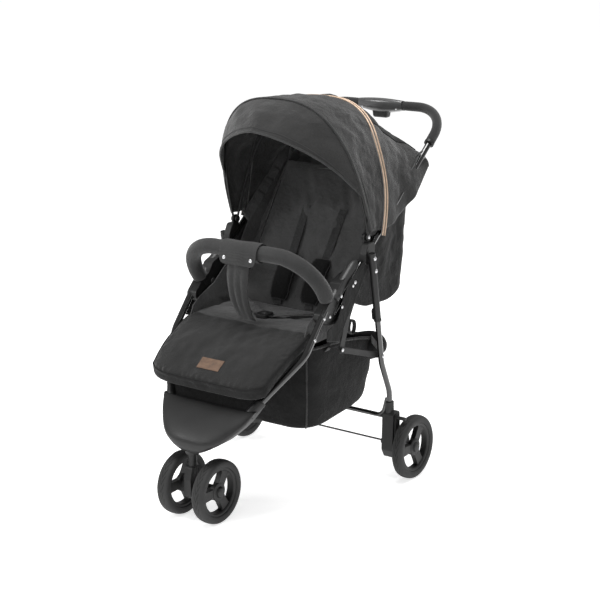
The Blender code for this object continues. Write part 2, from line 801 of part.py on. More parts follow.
def brake_nodes():
    rod = cylinder("brake_rod", (-ROD_HALF, *BRAKE_AT), (ROD_HALF, *BRAKE_AT), ROD_R, "gloss_black",
                   sides=8)
    set_origin(rod, (0, *BRAKE_AT))

    def pedal(letter, s):
        low, high = sorted((s * PEDAL_IN, s * PEDAL_OUT))
        body = plate("brake_pedal_" + letter, [slot_outline(BRAKE_AT, FOOT_BAR_AT, 0.008)], low, high,
                     "matte_black")
        foot = cylinder("foot_bar_" + letter, (s * (PEDAL_IN + 0.001), *FOOT_BAR_AT),
                        (s * FOOT_BAR_END, *FOOT_BAR_AT),
                        0.0052, sides=10)
        fuse(body, foot)
        bore = cylinder("pedal_bore_" + letter, (s * (PEDAL_IN - 0.002), *BRAKE_AT),
                        (s * (ROD_HALF + GAP), *BRAKE_AT), ROD_R + GAP, sides=8)
        cut(body, bore)
        set_origin(body, (s * PEDAL_IN, *BRAKE_AT))

    both(pedal)


def wheel(prefix, s, centre, radius, width, look_rim="matte_black"):
    """Tyre with a round tread over a three-spoke rim."""
    x, y = centre
    seat_r = radius * 0.76
    half = width / 2
    name = prefix + ("l" if s > 0 else "r")
    tyre = bpy.data.meshes.new("tyre_" + name)
    lip = seat_r + GAP
    section = [(lip, half * 0.86), (radius * 0.88, half), (radius * 0.965, half * 0.78),
               (radius, half * 0.25),
               (radius, -half * 0.25), (radius * 0.965, -half * 0.78), (radius * 0.88, -half),
               (lip, -half * 0.86)]
    count = len(section)
    tyre.from_pydata([(r, 0.0, h) for r, h in section], [(i, (i + 1) % count) for i in range(count)], [])
    ring = add_object("tyre_" + name, tyre, "tyre_black")
    spin(ring, WHEEL_STEPS)
    turn = Matrix(((0, 0, s), (0, 1, 0), (-s, 0, 0))).to_4x4()
    ring.matrix_world = Matrix.Translation((s * x, y, radius)) @ turn
    edge = []
    for k in range(WHEEL_STEPS):
        a = math.tau * k / WHEEL_STEPS
        edge.append((seat_r * math.cos(a), seat_r * math.sin(a)))
    loops = [edge, ring2d((0, 0), AXLE_R + GAP, 12)]
    for k in range(3):
        middle = math.tau * k / 3 + SPOKE_TURN
        inner = seat_r * 0.36
        outer = seat_r * 0.86
        window = arc2d((0, 0), outer, middle - 0.86, middle + 0.86, 6)
        window += arc2d((0, 0), inner, middle + 0.42, middle - 0.42, 2)
        loops.append(soften(window, 0.004, 1))
    rim = plate("rim_" + name, loops, -half * 0.62, half * 0.62, look_rim, "XY")
    rim.matrix_world = Matrix.Translation((s * x, y, radius)) @ turn
    return ring, rim


def wheel_nodes():
    for s in (1.0, -1.0):
        wheel("rear_", s, REAR_WHEEL, REAR_WHEEL_R, REAR_WHEEL_W)
        wheel("front_", s, FRONT_WHEEL, FRONT_WHEEL_R, FRONT_WHEEL_W)
    fork = plate("caster_fork", [soften(FORK_OUTLINE, 0.012)], -0.020, 0.020, "matte_black")
    round_edges(fork, 0.004)
    boss = cylinder("fork_boss", (-FORK_BOSS, FRONT_WHEEL[1], FRONT_WHEEL_R),
                    (FORK_BOSS, FRONT_WHEEL[1], FRONT_WHEEL_R),
                    0.014, sides=14)
    fuse(fork, boss)
    stem = cylinder("fork_stem", (0, CASTER_Y, 0.130), (0, CASTER_Y, STEM_TOP), STEM_R, sides=14)
    fuse(fork, stem)
    bore = cylinder("front_axle_bore", (-0.05, FRONT_WHEEL[1], FRONT_WHEEL_R),
                    (0.05, FRONT_WHEEL[1], FRONT_WHEEL_R),
                    AXLE_R + GAP, sides=12)
    cut(fork, bore)
    set_origin(fork, (0, CASTER_Y, 0.17))
    axle = cylinder("front_axle", (-FRONT_AXLE_END, FRONT_WHEEL[1], FRONT_WHEEL_R),
                    (FRONT_AXLE_END, FRONT_WHEEL[1], FRONT_WHEEL_R), AXLE_R, "steel", sides=12)
    set_origin(axle, (0, FRONT_WHEEL[1], FRONT_WHEEL_R))


def bumper_line():
    low = socket_point(1.0, 0.0)
    far = socket_point(1.0, BUMPER_REACH)
    points = [low, far, (-far[0], far[1], far[2]), (-low[0], low[1], low[2])]
    return rounded(points, [BUMPER_CORNER, BUMPER_CORNER], 5)


def bumper_nodes():
    """Padded bumper bar and its fabric cover with the crotch strap."""
    foam = bumper_line()
    core = [Vector(socket_point(1.0, -PLUG_LEN))] + foam[1:-1] + [Vector(socket_point(-1.0, -PLUG_LEN))]
    curve_tube("bumper_core", core, BUMPER_CORE, "matte_black", sides=12)
    pad = curve_tube("bumper_foam", foam, BUMPER_R, "foam_black", caps=False, sides=12)
    wall = pad.modifiers.new("wall", "SOLIDIFY")
    wall.thickness = (BUMPER_R - BUMPER_CORE - GAP) * math.cos(math.pi / 12) - 0.0002
    wall.offset = -1.0
    wall.use_even_offset = True
    y, z = foam[len(foam) // 2].y, foam[len(foam) // 2].z
    data = []
    steps = 12
    for k in range(steps + 1):
        x = COVER_HALF - 2 * COVER_HALF * k / steps
        swell = COVER_R + 0.0015 * math.cos(math.pi * (k % 2))
        ring = []
        for j in range(16):
            a = math.tau * j / 16
            ring.append((x, y + swell * math.cos(a), z + swell * math.sin(a)))
        data.append(ring)
    cover = loft("bumper_cover", data, "charcoal")
    tube = mesh_tube("cover_bore", [(0.2, y, z), (-0.2, y, z)], BUMPER_R + 2 * GAP + 0.0004, sides=12)
    strap_rows = []
    for k in range(7):
        t = k / 6
        sy = y + (STRAP_END[0] - y) * t + 0.006 * math.sin(math.pi * t)
        sz = z - COVER_R * 0.9 + (STRAP_END[1] - z + COVER_R * 0.9) * t
        strap_rows.append([(-0.030, sy - 0.003, sz), (0.030, sy - 0.003, sz), (0.030, sy + 0.003, sz),
                           (-0.030, sy + 0.003, sz)])
    strap = loft("crotch_strap", strap_rows)
    fuse(cover, strap)
    cut(cover, tube)


def bow_point(t, lean, width, height, power=BOW_P):
    """Point on a canopy bow, t from foot to foot; the feet draw in or out to the eyes."""
    x = width * abs(math.cos(t)) ** power + FOOT_DRAW * (1 - abs(math.sin(t))) ** 2
    x = math.copysign(x, math.cos(t))
    h = height * abs(math.sin(t)) ** power
    return (x, CANOPY_PIVOT[0] + h * math.sin(lean), CANOPY_PIVOT[1] + h * math.cos(lean))


def canopy_nodes():
    for name, lean, eye, inset in (("front_bow", FRONT_LEAN, FRONT_EYE, FRONT_INSET),
                                   ("mid_bow", MID_LEAN, MID_EYE, MID_INSET)):
        line = []
        for k in range(19):
            t = math.pi * k / 18
            line.append(bow_point(t, lean, BOW_W - inset, BOW_H - 0.0085))
        body = mesh_tube(name, line, 0.0032, "matte_black", sides=6)
        for letter, s in (("l", 1.0), ("r", -1.0)):
            low, high = sorted((s * eye[0], s * eye[1]))
            disc = plate(name + "_eye_" + letter, [ring2d(CANOPY_PIVOT, 0.009, 12)], low, high)
            fuse(body, disc)
            if name == "front_bow":
                pin = cylinder("bow_pin_" + letter, (s * (LUG_IN + 0.001), *CANOPY_PIVOT),
                               (s * (eye[0] + 0.001), *CANOPY_PIVOT), PIN_R, sides=8)
                fuse(body, pin)
        set_origin(body, (0, *CANOPY_PIVOT))
    rows = []
    for i in range(4):
        lean = FRONT_LEAN + (MID_LEAN - FRONT_LEAN) * i / 3
        dip = 0.007 * math.sin(math.pi * i / 3)
        rows.append([bow_point(HEM + (math.pi / 2 - HEM) * j / 8, lean, BOW_W + 0.003 - dip,
                               BOW_H + 0.004 - dip)
                     for j in range(9)])
    skin = sheet("canopy_front", rows, "charcoal", CLOTH, 1, -1.0, mirror=True)
    set_origin(skin, (0, *CANOPY_PIVOT))
    rows = []
    for i in range(5):
        f = i / 4
        row = []
        for j in range(8):
            t = HEM + (math.pi / 2 - HEM) * j / 7
            a = bow_point(t, MID_LEAN + 0.006, BOW_W + 0.003, BOW_H + 0.004)
            x = REAR_HEM_X * abs(math.cos(t)) ** 0.5
            h = REAR_SHOULDER * abs(math.sin(t)) ** 1.1
            if j == 7:
                h = 1.0
            b = (x, REAR_HEM[0] + REAR_RUN * h, REAR_HEM[1] + REAR_RISE * h)
            low = (1 - j / 7) ** 3
            sag = 0.045 * 4 * f * (1 - f) * low
            fold = 0.004 * math.sin(f * math.pi * 3) * math.sin(math.pi * j / 7)
            row.append((a[0] + (b[0] - a[0]) * f, a[1] + (b[1] - a[1]) * f,
                        a[2] + (b[2] - a[2]) * f - sag + fold))
        rows.append(row)
    rear = sheet("canopy_rear", rows, "charcoal", CLOTH, 1, -1.0, mirror=True)
    cut(rear, pocket_tube("canopy_tube_slot", handle_line, HANDLE_R + 0.0006))
    rows = []
    for i in range(3):
        f = i / 2
        row = []
        for j in range(8):
            t = VISOR_START + (math.pi / 2 - VISOR_START) * j / 7
            a = bow_point(t, FRONT_LEAN - 0.008, BOW_W + 0.003, BOW_H + 0.004)
            push = 0.06 + 0.94 * math.sin(math.pi / 2 * j / 7) ** 0.8
            row.append((a[0] * (1 - 0.02 * f), a[1] - 0.094 * f * push,
                        a[2] - (0.080 * f + 0.016 * f * f - 0.016 * f) * push))
        rows.append(row)
    peak = sheet("visor", rows, "charcoal", CLOTH, 1, -1.0, mirror=True)
    set_origin(peak, (0, *CANOPY_PIVOT))


def pillow(name, look, nx, ny, centre, normal, half, power=0.5, channels=None, levels=1):
    """Closed cushion: both skins meet on a drawn-in seam."""
    bm = bmesh.new()
    top = {}
    low = {}
    for i in range(nx + 1):
        for j in range(ny + 1):
            u = -1 + 2 * i / nx
            v = j / ny
            if i in (0, nx) or j in (0, ny):
                u += EDGE_GROW * (2 / nx) * ((i == nx) - (i == 0))
                v += EDGE_GROW / ny * ((j == ny) - (j == 0))
                top[i, j] = low[i, j] = bm.verts.new(centre(u, v))
                continue
            c = Vector(centre(u, v))
            n = Vector(normal(u, v))
            crown = max(0.0, (1 - abs(u) ** 4) * (1 - abs(2 * v - 1) ** 4)) ** power
            h = half * (0.62 + 0.38 * crown)
            if channels:
                h -= channels(i, j)
            top[i, j] = bm.verts.new(c + n * h)
            low[i, j] = bm.verts.new(c - n * half * (0.62 + 0.25 * crown))
    for i in range(nx):
        for j in range(ny):
            for grid, flip in ((top, False), (low, True)):
                face = [grid[i, j], grid[i + 1, j], grid[i + 1, j + 1], grid[i, j + 1]]
                if flip:
                    face.reverse()
                bm.faces.new(face)
    made = from_bm(name, bm, look)
    return smooth(made, levels)


def seat_nodes():
    def seat_centre(u, v):
        return (SEAT_HALF * u, SEAT_FRONT + (SEAT_REAR - SEAT_FRONT) * v,
                SEAT_TOP - SEAT_THICK / 2 - SAG * (1 - u * u))

    pillow("seat_cushion", "seat_black", 8, 6, seat_centre, lambda u, v: (0, 0, 1), SEAT_THICK / 2,
           channels=lambda i, j: 0.004 if j == 3 else 0.0)

    direction = Vector((0, math.cos(BACK_ANGLE), math.sin(BACK_ANGLE)))
    face = Vector((0, -math.sin(BACK_ANGLE), math.cos(BACK_ANGLE)))

    def back_centre(u, v):
        base = Vector((BACK_HALF * u * (1 - 0.03 * v), *BACK_SEAM)) + direction * BACK_LEN * v
        return base - face * (0.010 * (1 - u * u))

    back = pillow("backrest", "seat_black", 8, 8, back_centre, lambda u, v: face, BACK_THICK / 2,
                  channels=lambda i, j: 0.004 if j in (2, 5) else 0.0)
    set_origin(back, (0, *RECLINE_AXIS))

    def pad(letter, s):
        def centre(u, v):
            base = Vector((s * PAD_X + 0.020 * u, *BACK_SEAM)) + direction * (PAD_START + PAD_LEN * v)
            return base + face * PAD_RISE

        made = pillow("harness_pad_" + letter, "seat_black", 3, 4, centre, lambda u, v: face, 0.0045,
                      levels=1)
        set_origin(made, (0, *RECLINE_AXIS))

    both(pad)
    body = box("buckle", (-0.019, BUCKLE_Y - 0.022, BUCKLE_Z),
               (0.019, BUCKLE_Y + 0.022, BUCKLE_Z + BUCKLE_THICK),
               "matte_black")
    round_edges(body, 0.002)
    face_z = BUCKLE_Z + BUCKLE_THICK
    hole = cylinder("button_hole", (0, BUCKLE_Y, face_z - 0.004), (0, BUCKLE_Y, face_z + 0.006),
                    KNOB_R + GAP)
    cut(body, hole)
    knob = cylinder("buckle_button", (0, BUCKLE_Y, face_z - 0.001), (0, BUCKLE_Y, face_z + 0.0015),
                    KNOB_R,
                    "button_grey")
    set_origin(knob, (0, BUCKLE_Y, face_z - 0.001))

    def side_panel(letter, s):
        low, high = sorted((s * SIDE_IN, s * (SIDE_IN + SIDE_THICK)))
        plate("seat_side_" + letter, [soften(SIDE_OUTLINE, 0.012)], low, high, "seat_black")

    both(side_panel)
    side_x = HANDLE_X - HANDLE_R - CLOTH / 2 - GAP
    path = [(side_x, 0.178 + 0.063 * k) for k in range(4)]
    path += [(0.2035, 0.400), (0.178, 0.414), (0.09, 0.417), (0.0, 0.418)]
    rows = []
    for i in range(4):
        f = i / 3
        row = []
        for k, (x, y) in enumerate(path):
            top = along_handle((min(y, 0.385) - HANDLE_LOW[0]) / math.cos(SLOPE))[1] - 0.002
            if k > 3:
                top -= 0.012
            lift = max(0.0, (y - 0.30) / 0.117) ** 2
            low = SKIRT_LOW + 0.055 * lift - 0.006 * math.sin(math.pi * k / 7)
            sway = 0.004 * math.sin(math.pi * f) * math.cos(k * 1.9)
            tuck = 0.010 * f
            if k in (0, 7):
                sway = 0.0
            if k == 7:
                tuck = 0.0
            row.append((x + sway - tuck, y - 0.012 * f * f, top + (low - top) * f))
        rows.append(row)
    sheet("back_skirt", rows, "seat_black", CLOTH, 1, 0.0, mirror=True)


def basket_node():
    def ring(front, rear, half, heights):
        out = []
        for k in range(24):
            a = math.tau * k / 24
            c = math.cos(a)
            d = math.sin(a)
            x = half * math.copysign(abs(c) ** SQUARE, c)
            y = (front + rear) / 2 + (rear - front) / 2 * math.copysign(abs(d) ** SQUARE, d)
            out.append((x, y, heights((y - front) / (rear - front))))
        return out

    rings = [
        ring(-0.030, 0.245, 0.170, lambda f: 0.207 + 0.027 * f),
        ring(-0.044, 0.257, 0.186, lambda f: 0.212 + 0.027 * f),
        ring(-0.050, 0.270, 0.192, lambda f: 0.280 + 0.020 * f),
        ring(-0.052, 0.288, 0.192, lambda f: 0.350 + 0.010 * f),
        ring(RIM_FRONT, RIM_REAR, RIM_HALF, lambda f: 0.424 + 0.036 * f - 0.078 * f * f),
    ]
    bm = bmesh.new()
    made = [[bm.verts.new(p) for p in row] for row in rings]
    for a, b in zip(made[:-1], made[1:]):
        for j in range(24):
            k = (j + 1) % 24
            bm.faces.new((a[j], a[k], b[k], b[j]))
    bm.faces.new(made[0])
    body = from_bm("basket", bm, "seat_black")
    wall = body.modifiers.new("wall", "SOLIDIFY")
    wall.thickness = 0.0025
    wall.offset = -1.0
    wall.use_even_offset = True
    leg_y = along_line(LEG_PIVOT, LEG_JOG, (LEG_PIVOT[1] - STRAP_Z) / math.cos(LEG_TILT))[0]
    for letter, s in (("l", 1.0), ("r", -1.0)):
        for spot, y, z, reach in (("front", LINK_FRONT[0], LINK_FRONT[1], BAR_IN - GAP),
                                  ("rear", leg_y, STRAP_Z, LEG_X - 0.004)):
            across = abs(2 * (y - RIM_FRONT) / (RIM_REAR - RIM_FRONT) - 1)
            wall_x = RIM_HALF * (1 - across ** (1 / SQUARE)) ** SQUARE
            low, high = sorted((s * (wall_x - 0.003), s * reach))
            strap = box("basket_strap_" + spot + letter, (low, y - 0.010, z - 0.006),
                        (high, y + 0.010, z - 0.004))
            fuse(body, strap)
        cut(body, bpy.data.objects["leg_cut_" + letter])


def legrest_nodes():
    def outline(u, v):
        y = LEGREST_PIVOT[0] - 0.196 * v
        z = LEGREST_PIVOT[1] - SAG * (1 - u * u) * (1 - v) - 0.060 * v - 0.046 * v * v
        half = 0.198 - 0.010 * v - 0.020 * v * v
        corner = abs(u) ** 5
        lift = corner * 0.030 * max(0.0, v - 0.55) / 0.45
        return (half * u, y + lift, z + lift * 0.5)

    pad = pillow("leg_rest", "charcoal", 8, 7, outline, legrest_normal, 0.0135, power=0.4,
                 channels=lambda i, j: 0.003 if j == 6 else 0.0)
    set_origin(pad, (0, *LEGREST_PIVOT))
    rows = []
    for i in range(5):
        row = []
        for j in range(3):
            u = (LABEL_X - 0.036 + 0.072 * i / 4) / 0.19
            v = 0.735 + 0.135 * j / 2
            p = Vector(outline(u, v)) + Vector(legrest_normal(u, v)) * LABEL_RISE
            row.append(tuple(p))
        rows.append(row)
    label = sheet("leg_label", rows, "leather", 0.0012, 0, 1.0)
    set_origin(label, (0, *LEGREST_PIVOT))


def legrest_normal(u, v):
    slope = math.atan2(0.060 + 0.092 * v, 0.196)
    return (0, -math.sin(slope), math.cos(slope))


frame_nodes()
handle_nodes()
leg_nodes()
brake_nodes()
wheel_nodes()
bumper_nodes()
canopy_nodes()
seat_nodes()
basket_node()
legrest_nodes()

# the finished part stands with the middle of its length over the origin
bpy.context.view_layer.update()
for one in list(PARTS.objects) + list(CUTTERS.objects):
    one.matrix_world = Matrix.Translation((0, -MIDDLE_Y, 0)) @ one.matrix_world
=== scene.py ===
import math

import bmesh
import bpy
from mathutils import Matrix, Vector, noise


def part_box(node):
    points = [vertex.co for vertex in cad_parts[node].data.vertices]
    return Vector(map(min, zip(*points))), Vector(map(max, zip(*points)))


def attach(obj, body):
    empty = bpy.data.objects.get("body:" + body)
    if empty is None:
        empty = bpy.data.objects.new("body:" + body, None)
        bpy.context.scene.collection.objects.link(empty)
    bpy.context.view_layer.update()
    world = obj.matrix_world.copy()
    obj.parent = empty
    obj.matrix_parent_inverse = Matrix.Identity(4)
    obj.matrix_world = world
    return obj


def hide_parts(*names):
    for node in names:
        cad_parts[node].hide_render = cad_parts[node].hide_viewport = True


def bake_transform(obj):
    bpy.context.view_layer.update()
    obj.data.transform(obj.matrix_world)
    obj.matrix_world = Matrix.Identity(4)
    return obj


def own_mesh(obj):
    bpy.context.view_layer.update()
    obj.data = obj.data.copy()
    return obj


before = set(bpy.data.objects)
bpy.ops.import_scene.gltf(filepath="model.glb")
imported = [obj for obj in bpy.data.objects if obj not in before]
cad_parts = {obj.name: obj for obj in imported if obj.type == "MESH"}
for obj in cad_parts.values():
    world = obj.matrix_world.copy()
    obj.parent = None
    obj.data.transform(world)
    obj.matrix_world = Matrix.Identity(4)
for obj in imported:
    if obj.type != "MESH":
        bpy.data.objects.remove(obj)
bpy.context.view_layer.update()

# sizes shared with the frame, in metres, before the middle of the length is moved to the origin
# two values are y and z in the side view, three are x, y and z on the left side
MIDDLE_Y = 0.1195
SLOPE = math.radians(39.8)
HANDLE_X = 0.222
HANDLE_R = 0.0085
HANDLE_LOW = (0.006, 0.5225)
HANDLE_LEN = 0.743
GRIP_START = 0.613
GRIP_R = 0.0135
CONSOLE_HALF = 0.074
FRONT_R = 0.0095
FRONT_TOP = (0.220, -0.022, 0.5365)
FRONT_BEND = (0.219, -0.110, 0.431)
FRONT_COLLAR = (0.150, -0.199, 0.326)
LEG_X = 0.2505
LEG_R = 0.008
LEG_PIVOT = (0.1508, 0.6490)
LEG_JOG = (0.203, 0.349)
LEG_HEEL = (0.245, 0.258)
LEG_FOOT = (0.252, 0.150)
LINK_REAR = (0.199, 0.370)
LINK_FRONT = (0.0300, 0.4240)
SEAT_PIVOT = (0.0913, 0.5938)
# x, y, radius and width of the wheels
REAR_WHEEL = (0.296, 0.300, 0.090, 0.032)
FRONT_WHEEL = (0.058, -0.274, 0.085, 0.036)
CASTER_Y = -0.298
BUMPER_END = (0.2125, -0.003, 0.564)
BUMPER_TILT = math.radians(56.8)
BUMPER_R = 0.021
CANOPY_PIVOT = (0.165, 0.700)
BOW_W = 0.235
BOW_H = 0.374
BOW_P = 0.76
FRONT_LEAN = math.radians(-15.9)
MID_LEAN = math.radians(18.0)
HEM = math.radians(2.2)
BACK_SEAM = Vector((0.0, 0.1345, 0.469))
BACK_ANGLE = math.radians(58.0)
BACK_LEN = 0.44
CROSS_TUBE = (0.242, 0.1845)
BRAKE_PIVOT = (0.248, 0.110)
HUB_ARM_X = 0.2188
BUMPER_REACH = 0.135
SIDES = ((1.0, "l"), (-1.0, "r"))


class Wire:
    """A shader socket in an expression: each operator adds its Math node."""

    def __init__(self, finish, socket):
        self.finish = finish
        self.socket = socket

    def math(self, operation, *values):
        return self.finish.node("Math", {"operation": operation}, dict(enumerate(values)))

    def __add__(self, other):
        return self.math("ADD", self, other)

    def __sub__(self, other):
        return self.math("SUBTRACT", self, other)

    def __mul__(self, other):
        return self.math("MULTIPLY", self, other)

    def __mod__(self, other):
        return self.math("FLOORED_MODULO", self, other)

    def __gt__(self, other):
        return self.math("GREATER_THAN", self, other)

    def __abs__(self):
        return self.math("ABSOLUTE", self)

    def __rsub__(self, other):
        return self.math("SUBTRACT", other, self)

    __radd__ = __add__
    __rmul__ = __mul__

    def floor(self):
        return self.math("FLOOR", self)

    def sine(self):
        return self.math("SINE", self)

    def least(self, other):
        return self.math("MINIMUM", self, other)

    def most(self, other):
        return self.math("MAXIMUM", self, other)


class Finish:
    """A named material built round one Principled shader."""

    def __init__(self, name, colour, roughness, **constants):
        self.material = bpy.data.materials.new(name)
        self.material.use_nodes = True
        self.tree = self.material.node_tree
        self.shader = self.tree.nodes["Principled BSDF"]
        self.set("Base Color", (*colour, 1.0))
        self.set("Roughness", roughness)
        for socket, value in constants.items():
            self.set(socket.replace("_", " "), value)

    def set(self, socket, value):
        """Give one input of the shader a wire or a fixed value."""
        if isinstance(value, Wire):
            self.tree.links.new(value.socket, self.shader.inputs[socket])
        else:
            self.shader.inputs[socket].default_value = value

    def node(self, kind, settings, inputs, output=0):
        """Add a node: its settings first, then a wire or a value for each named input."""
        made = self.tree.nodes.new("ShaderNode" + kind)
        for key, value in settings.items():
            if key == "stops":
                ramp = made.color_ramp
                while len(ramp.elements) < len(value):
                    ramp.elements.new(1.0)
                for element, (place, shade) in zip(ramp.elements, value):
                    element.position = place
                    element.color = (*shade, 1.0)
            else:
                setattr(made, key, value)
        for key, value in inputs.items():
            if isinstance(value, Wire):
                self.tree.links.new(value.socket, made.inputs[key])
            else:
                made.inputs[key].default_value = value
        return Wire(self, made.outputs[output])

    def place(self, stretch=(1.0, 1.0, 1.0), turn=(0.0, 0.0, 0.0), uv=False):
        """Object coordinates in metres, or the piece's own cut map, stretched and turned."""
        if uv:
            source = self.node("UVMap", {"uv_map": "cut"}, {})
        else:
            source = self.node("TexCoord", {}, {}, "Object")
        return self.node("Mapping", {}, {"Vector": source, "Scale": stretch, "Rotation": turn})

    def grain(self, scale, detail=3.0, rough=0.5, **where):
        """Soft cloudy noise with about one cloud every 1/scale metres."""
        inputs = {"Vector": self.place(**where), "Scale": scale, "Detail": detail, "Roughness": rough}
        return self.node("TexNoise", {}, inputs)

    def split(self, vector):
        """The three parts of a vector, each as a wire."""
        parts = self.node("SeparateXYZ", {}, {"Vector": vector})
        node = parts.socket.node
        return [Wire(self, output) for output in node.outputs]

    def shades(self, factor, *stops):
        """Colour ramp over factor, made of (place, colour) stops."""
        return self.node("ValToRGB", {"stops": stops}, {"Fac": factor})

    def bump(self, height, depth, strength=1.0):
        """Raise the surface by depth, in metres, where height is one."""
        self.set("Normal", self.node("Bump", {}, {"Height": height, "Distance": depth, "Strength": strength}))


def grey(value, warm=0.0):
    """Grey of one value, turned a little warmer by warm."""
    return (value * (1 + warm), value, value * (1 - warm))


def woven(name, dark, light, pitch, depth, uv=False, turn=(0.0, 0.0, 0.0), fleck=0.5, sheen=0.2, crease=10.0):
    """Plain weave with lighter melange flecks and slow changes of tone."""
    cloth = Finish(name, dark, 0.92, Sheen_Weight=sheen, Sheen_Roughness=0.45, Specular_IOR_Level=0.25)
    a, b, _ = cloth.split(cloth.place((1 / pitch,) * 3, turn, uv))
    over = (a.floor() + b.floor()) % 2.0
    warp = abs((a * math.pi).sine())
    weft = abs((b * math.pi).sine())
    thread = over * warp + (1 - over) * weft
    flecks = cloth.grain(1.0, 2.0, 0.6, stretch=(900.0, 260.0, 420.0), turn=turn)
    broad = cloth.grain(9.0, 4.0, 0.6)
    tone = flecks * fleck + broad * 0.55 + thread * 0.22 - 0.12
    cloth.set("Base Color", cloth.shades(tone, (0.18, dark), (0.85, light)))
    cloth.set("Roughness", broad * 0.12 + 0.84)
    folds = 1 - abs(cloth.grain(19.0, 3.0, 0.55) - 0.5) * 6
    cloth.bump(thread + broad * 2.0 + folds.most(0.0) * crease, depth, 0.7)
    return cloth.material


def moulded(name, colour, roughness, grain=1400.0, depth=0.00006, coat=0.0):
    """Moulded plastic with a fine spark-eroded grain and faint handling marks."""
    plastic = Finish(name, colour, roughness, Coat_Weight=coat, Coat_Roughness=0.2, Specular_IOR_Level=0.45)
    fine = plastic.grain(grain, 2.0)
    marks = plastic.grain(26.0, 5.0, 0.65)
    worn = tuple(c * 1.5 for c in colour)
    plastic.set("Base Color", plastic.shades(marks, (0.30, colour), (0.80, worn)))
    plastic.set("Roughness", marks * 0.22 + (roughness - 0.11))
    plastic.bump(fine, depth, 0.6)
    return plastic.material


def enamel(name):
    """Black powder-coated tube: glossy, with a slight orange-peel."""
    paint = Finish(name, grey(0.003), 0.16, Coat_Weight=0.7, Coat_Roughness=0.05, Specular_IOR_Level=0.5)
    peel = paint.grain(420.0, 2.0)
    scuff = paint.grain(35.0, 5.0, 0.7)
    paint.set("Base Color", paint.shades(scuff, (0.35, grey(0.0025)), (0.80, grey(0.006))))
    paint.set("Roughness", scuff * 0.14 + 0.06)
    paint.bump(peel, 0.00004, 0.5)
    return paint.material


def foamed(name, colour, pore, depth):
    """Closed-cell foam: fine round pores over a soft mottle."""
    foam = Finish(name, colour, 0.93, Sheen_Weight=0.25, Sheen_Roughness=0.5, Specular_IOR_Level=0.3)
    pores = foam.node("TexVoronoi", {}, {"Vector": foam.place(), "Scale": pore})
    mottle = foam.grain(60.0, 4.0, 0.6)
    lighter = tuple(c * 1.7 for c in colour)
    foam.set("Base Color", foam.shades(pores * 0.5 + mottle * 0.7, (0.30, colour), (0.95, lighter)))
    foam.bump(pores, depth, 0.6)
    return foam.material


def rubber(name):
    """Black tyre foam: pebbled side walls and slanted tread bars across the running face, with painted shade
    darkening the grooves between the bars.
    """
    tyre = Finish(name, grey(0.022), 0.72, Specular_IOR_Level=0.4)
    around, across, _ = tyre.split(tyre.place(uv=True))
    slant = abs(across - 0.5) * 1.6
    bars = ((around * 26.0 + slant * 3.0) % 1.0) > 0.30
    ribs = ((across * 9.0) % 1.0) > 0.12
    face = 1 - (abs(across - 0.5) > 0.24)
    pebble = tyre.grain(1500.0, 2.0)
    scuff = tyre.grain(30.0, 5.0, 0.7)
    tread = bars.least(ribs) * face + (1 - face)
    # the grooves between the tread bars take a darker colour: painted shade in the grooves
    tyre.set("Base Color", tyre.shades(scuff * 0.5 + tread * 0.45, (0.25, grey(0.003)), (0.80, grey(0.026))))
    tyre.set("Roughness", scuff * 0.2 + 0.62)
    tyre.bump(tread * 10.0 + pebble * 0.4, 0.00040, 0.9)
    return tyre.material


def hide(name):
    """Tan leather label: pebble grain, darker towards worn patches."""
    leather = Finish(name, (0.20, 0.105, 0.055), 0.62, Specular_IOR_Level=0.35)
    pores = {"Vector": leather.place(), "Scale": 900.0}
    cells = leather.node("TexVoronoi", {"feature": "DISTANCE_TO_EDGE"}, pores)
    patch = leather.grain(70.0, 5.0, 0.65)
    dark, tan = (0.085, 0.050, 0.032), (0.165, 0.100, 0.064)
    leather.set("Base Color", leather.shades(patch, (0.30, dark), (0.72, tan)))
    leather.set("Roughness", patch * 0.3 + 0.42)
    leather.bump(cells * 3.0 + patch, 0.0003, 0.6)
    return leather.material


def bright(name, colour, roughness, metallic=1.0):
    """Plated steel or metallic braid with fine brushing."""
    metal = Finish(name, colour, roughness, Metallic=metallic)
    brushed = metal.grain(1.0, 3.0, 0.6, stretch=(300.0, 2200.0, 300.0))
    dull = metal.grain(120.0, 4.0, 0.6)
    darker = tuple(c * 0.72 for c in colour)
    metal.set("Base Color", metal.shades(dull, (0.30, darker), (0.70, colour)))
    metal.set("Roughness", brushed * 0.18 + (roughness - 0.06))
    metal.bump(brushed, 0.00003, 0.5)
    return metal.material


CANOPY_CLOTH = woven("canopy_melange", grey(0.008), grey(0.037, 0.01), 0.0012, 0.00020, uv=True, fleck=0.6,
                     crease=9.0)
PAD_CLOTH = woven("legrest_melange", grey(0.004), grey(0.018, 0.01), 0.0012, 0.00020, fleck=0.6, crease=4.0)
# black seat polyester, its tone raised well above the skirt's as painted fill light for the shaded seat
FILL_LIT_SEAT_CLOTH = woven("seat_polyester_with_painted_fill", grey(0.028), grey(0.115), 0.0014, 0.00018, turn=(BACK_ANGLE, 0, 0),
                   fleck=0.4)
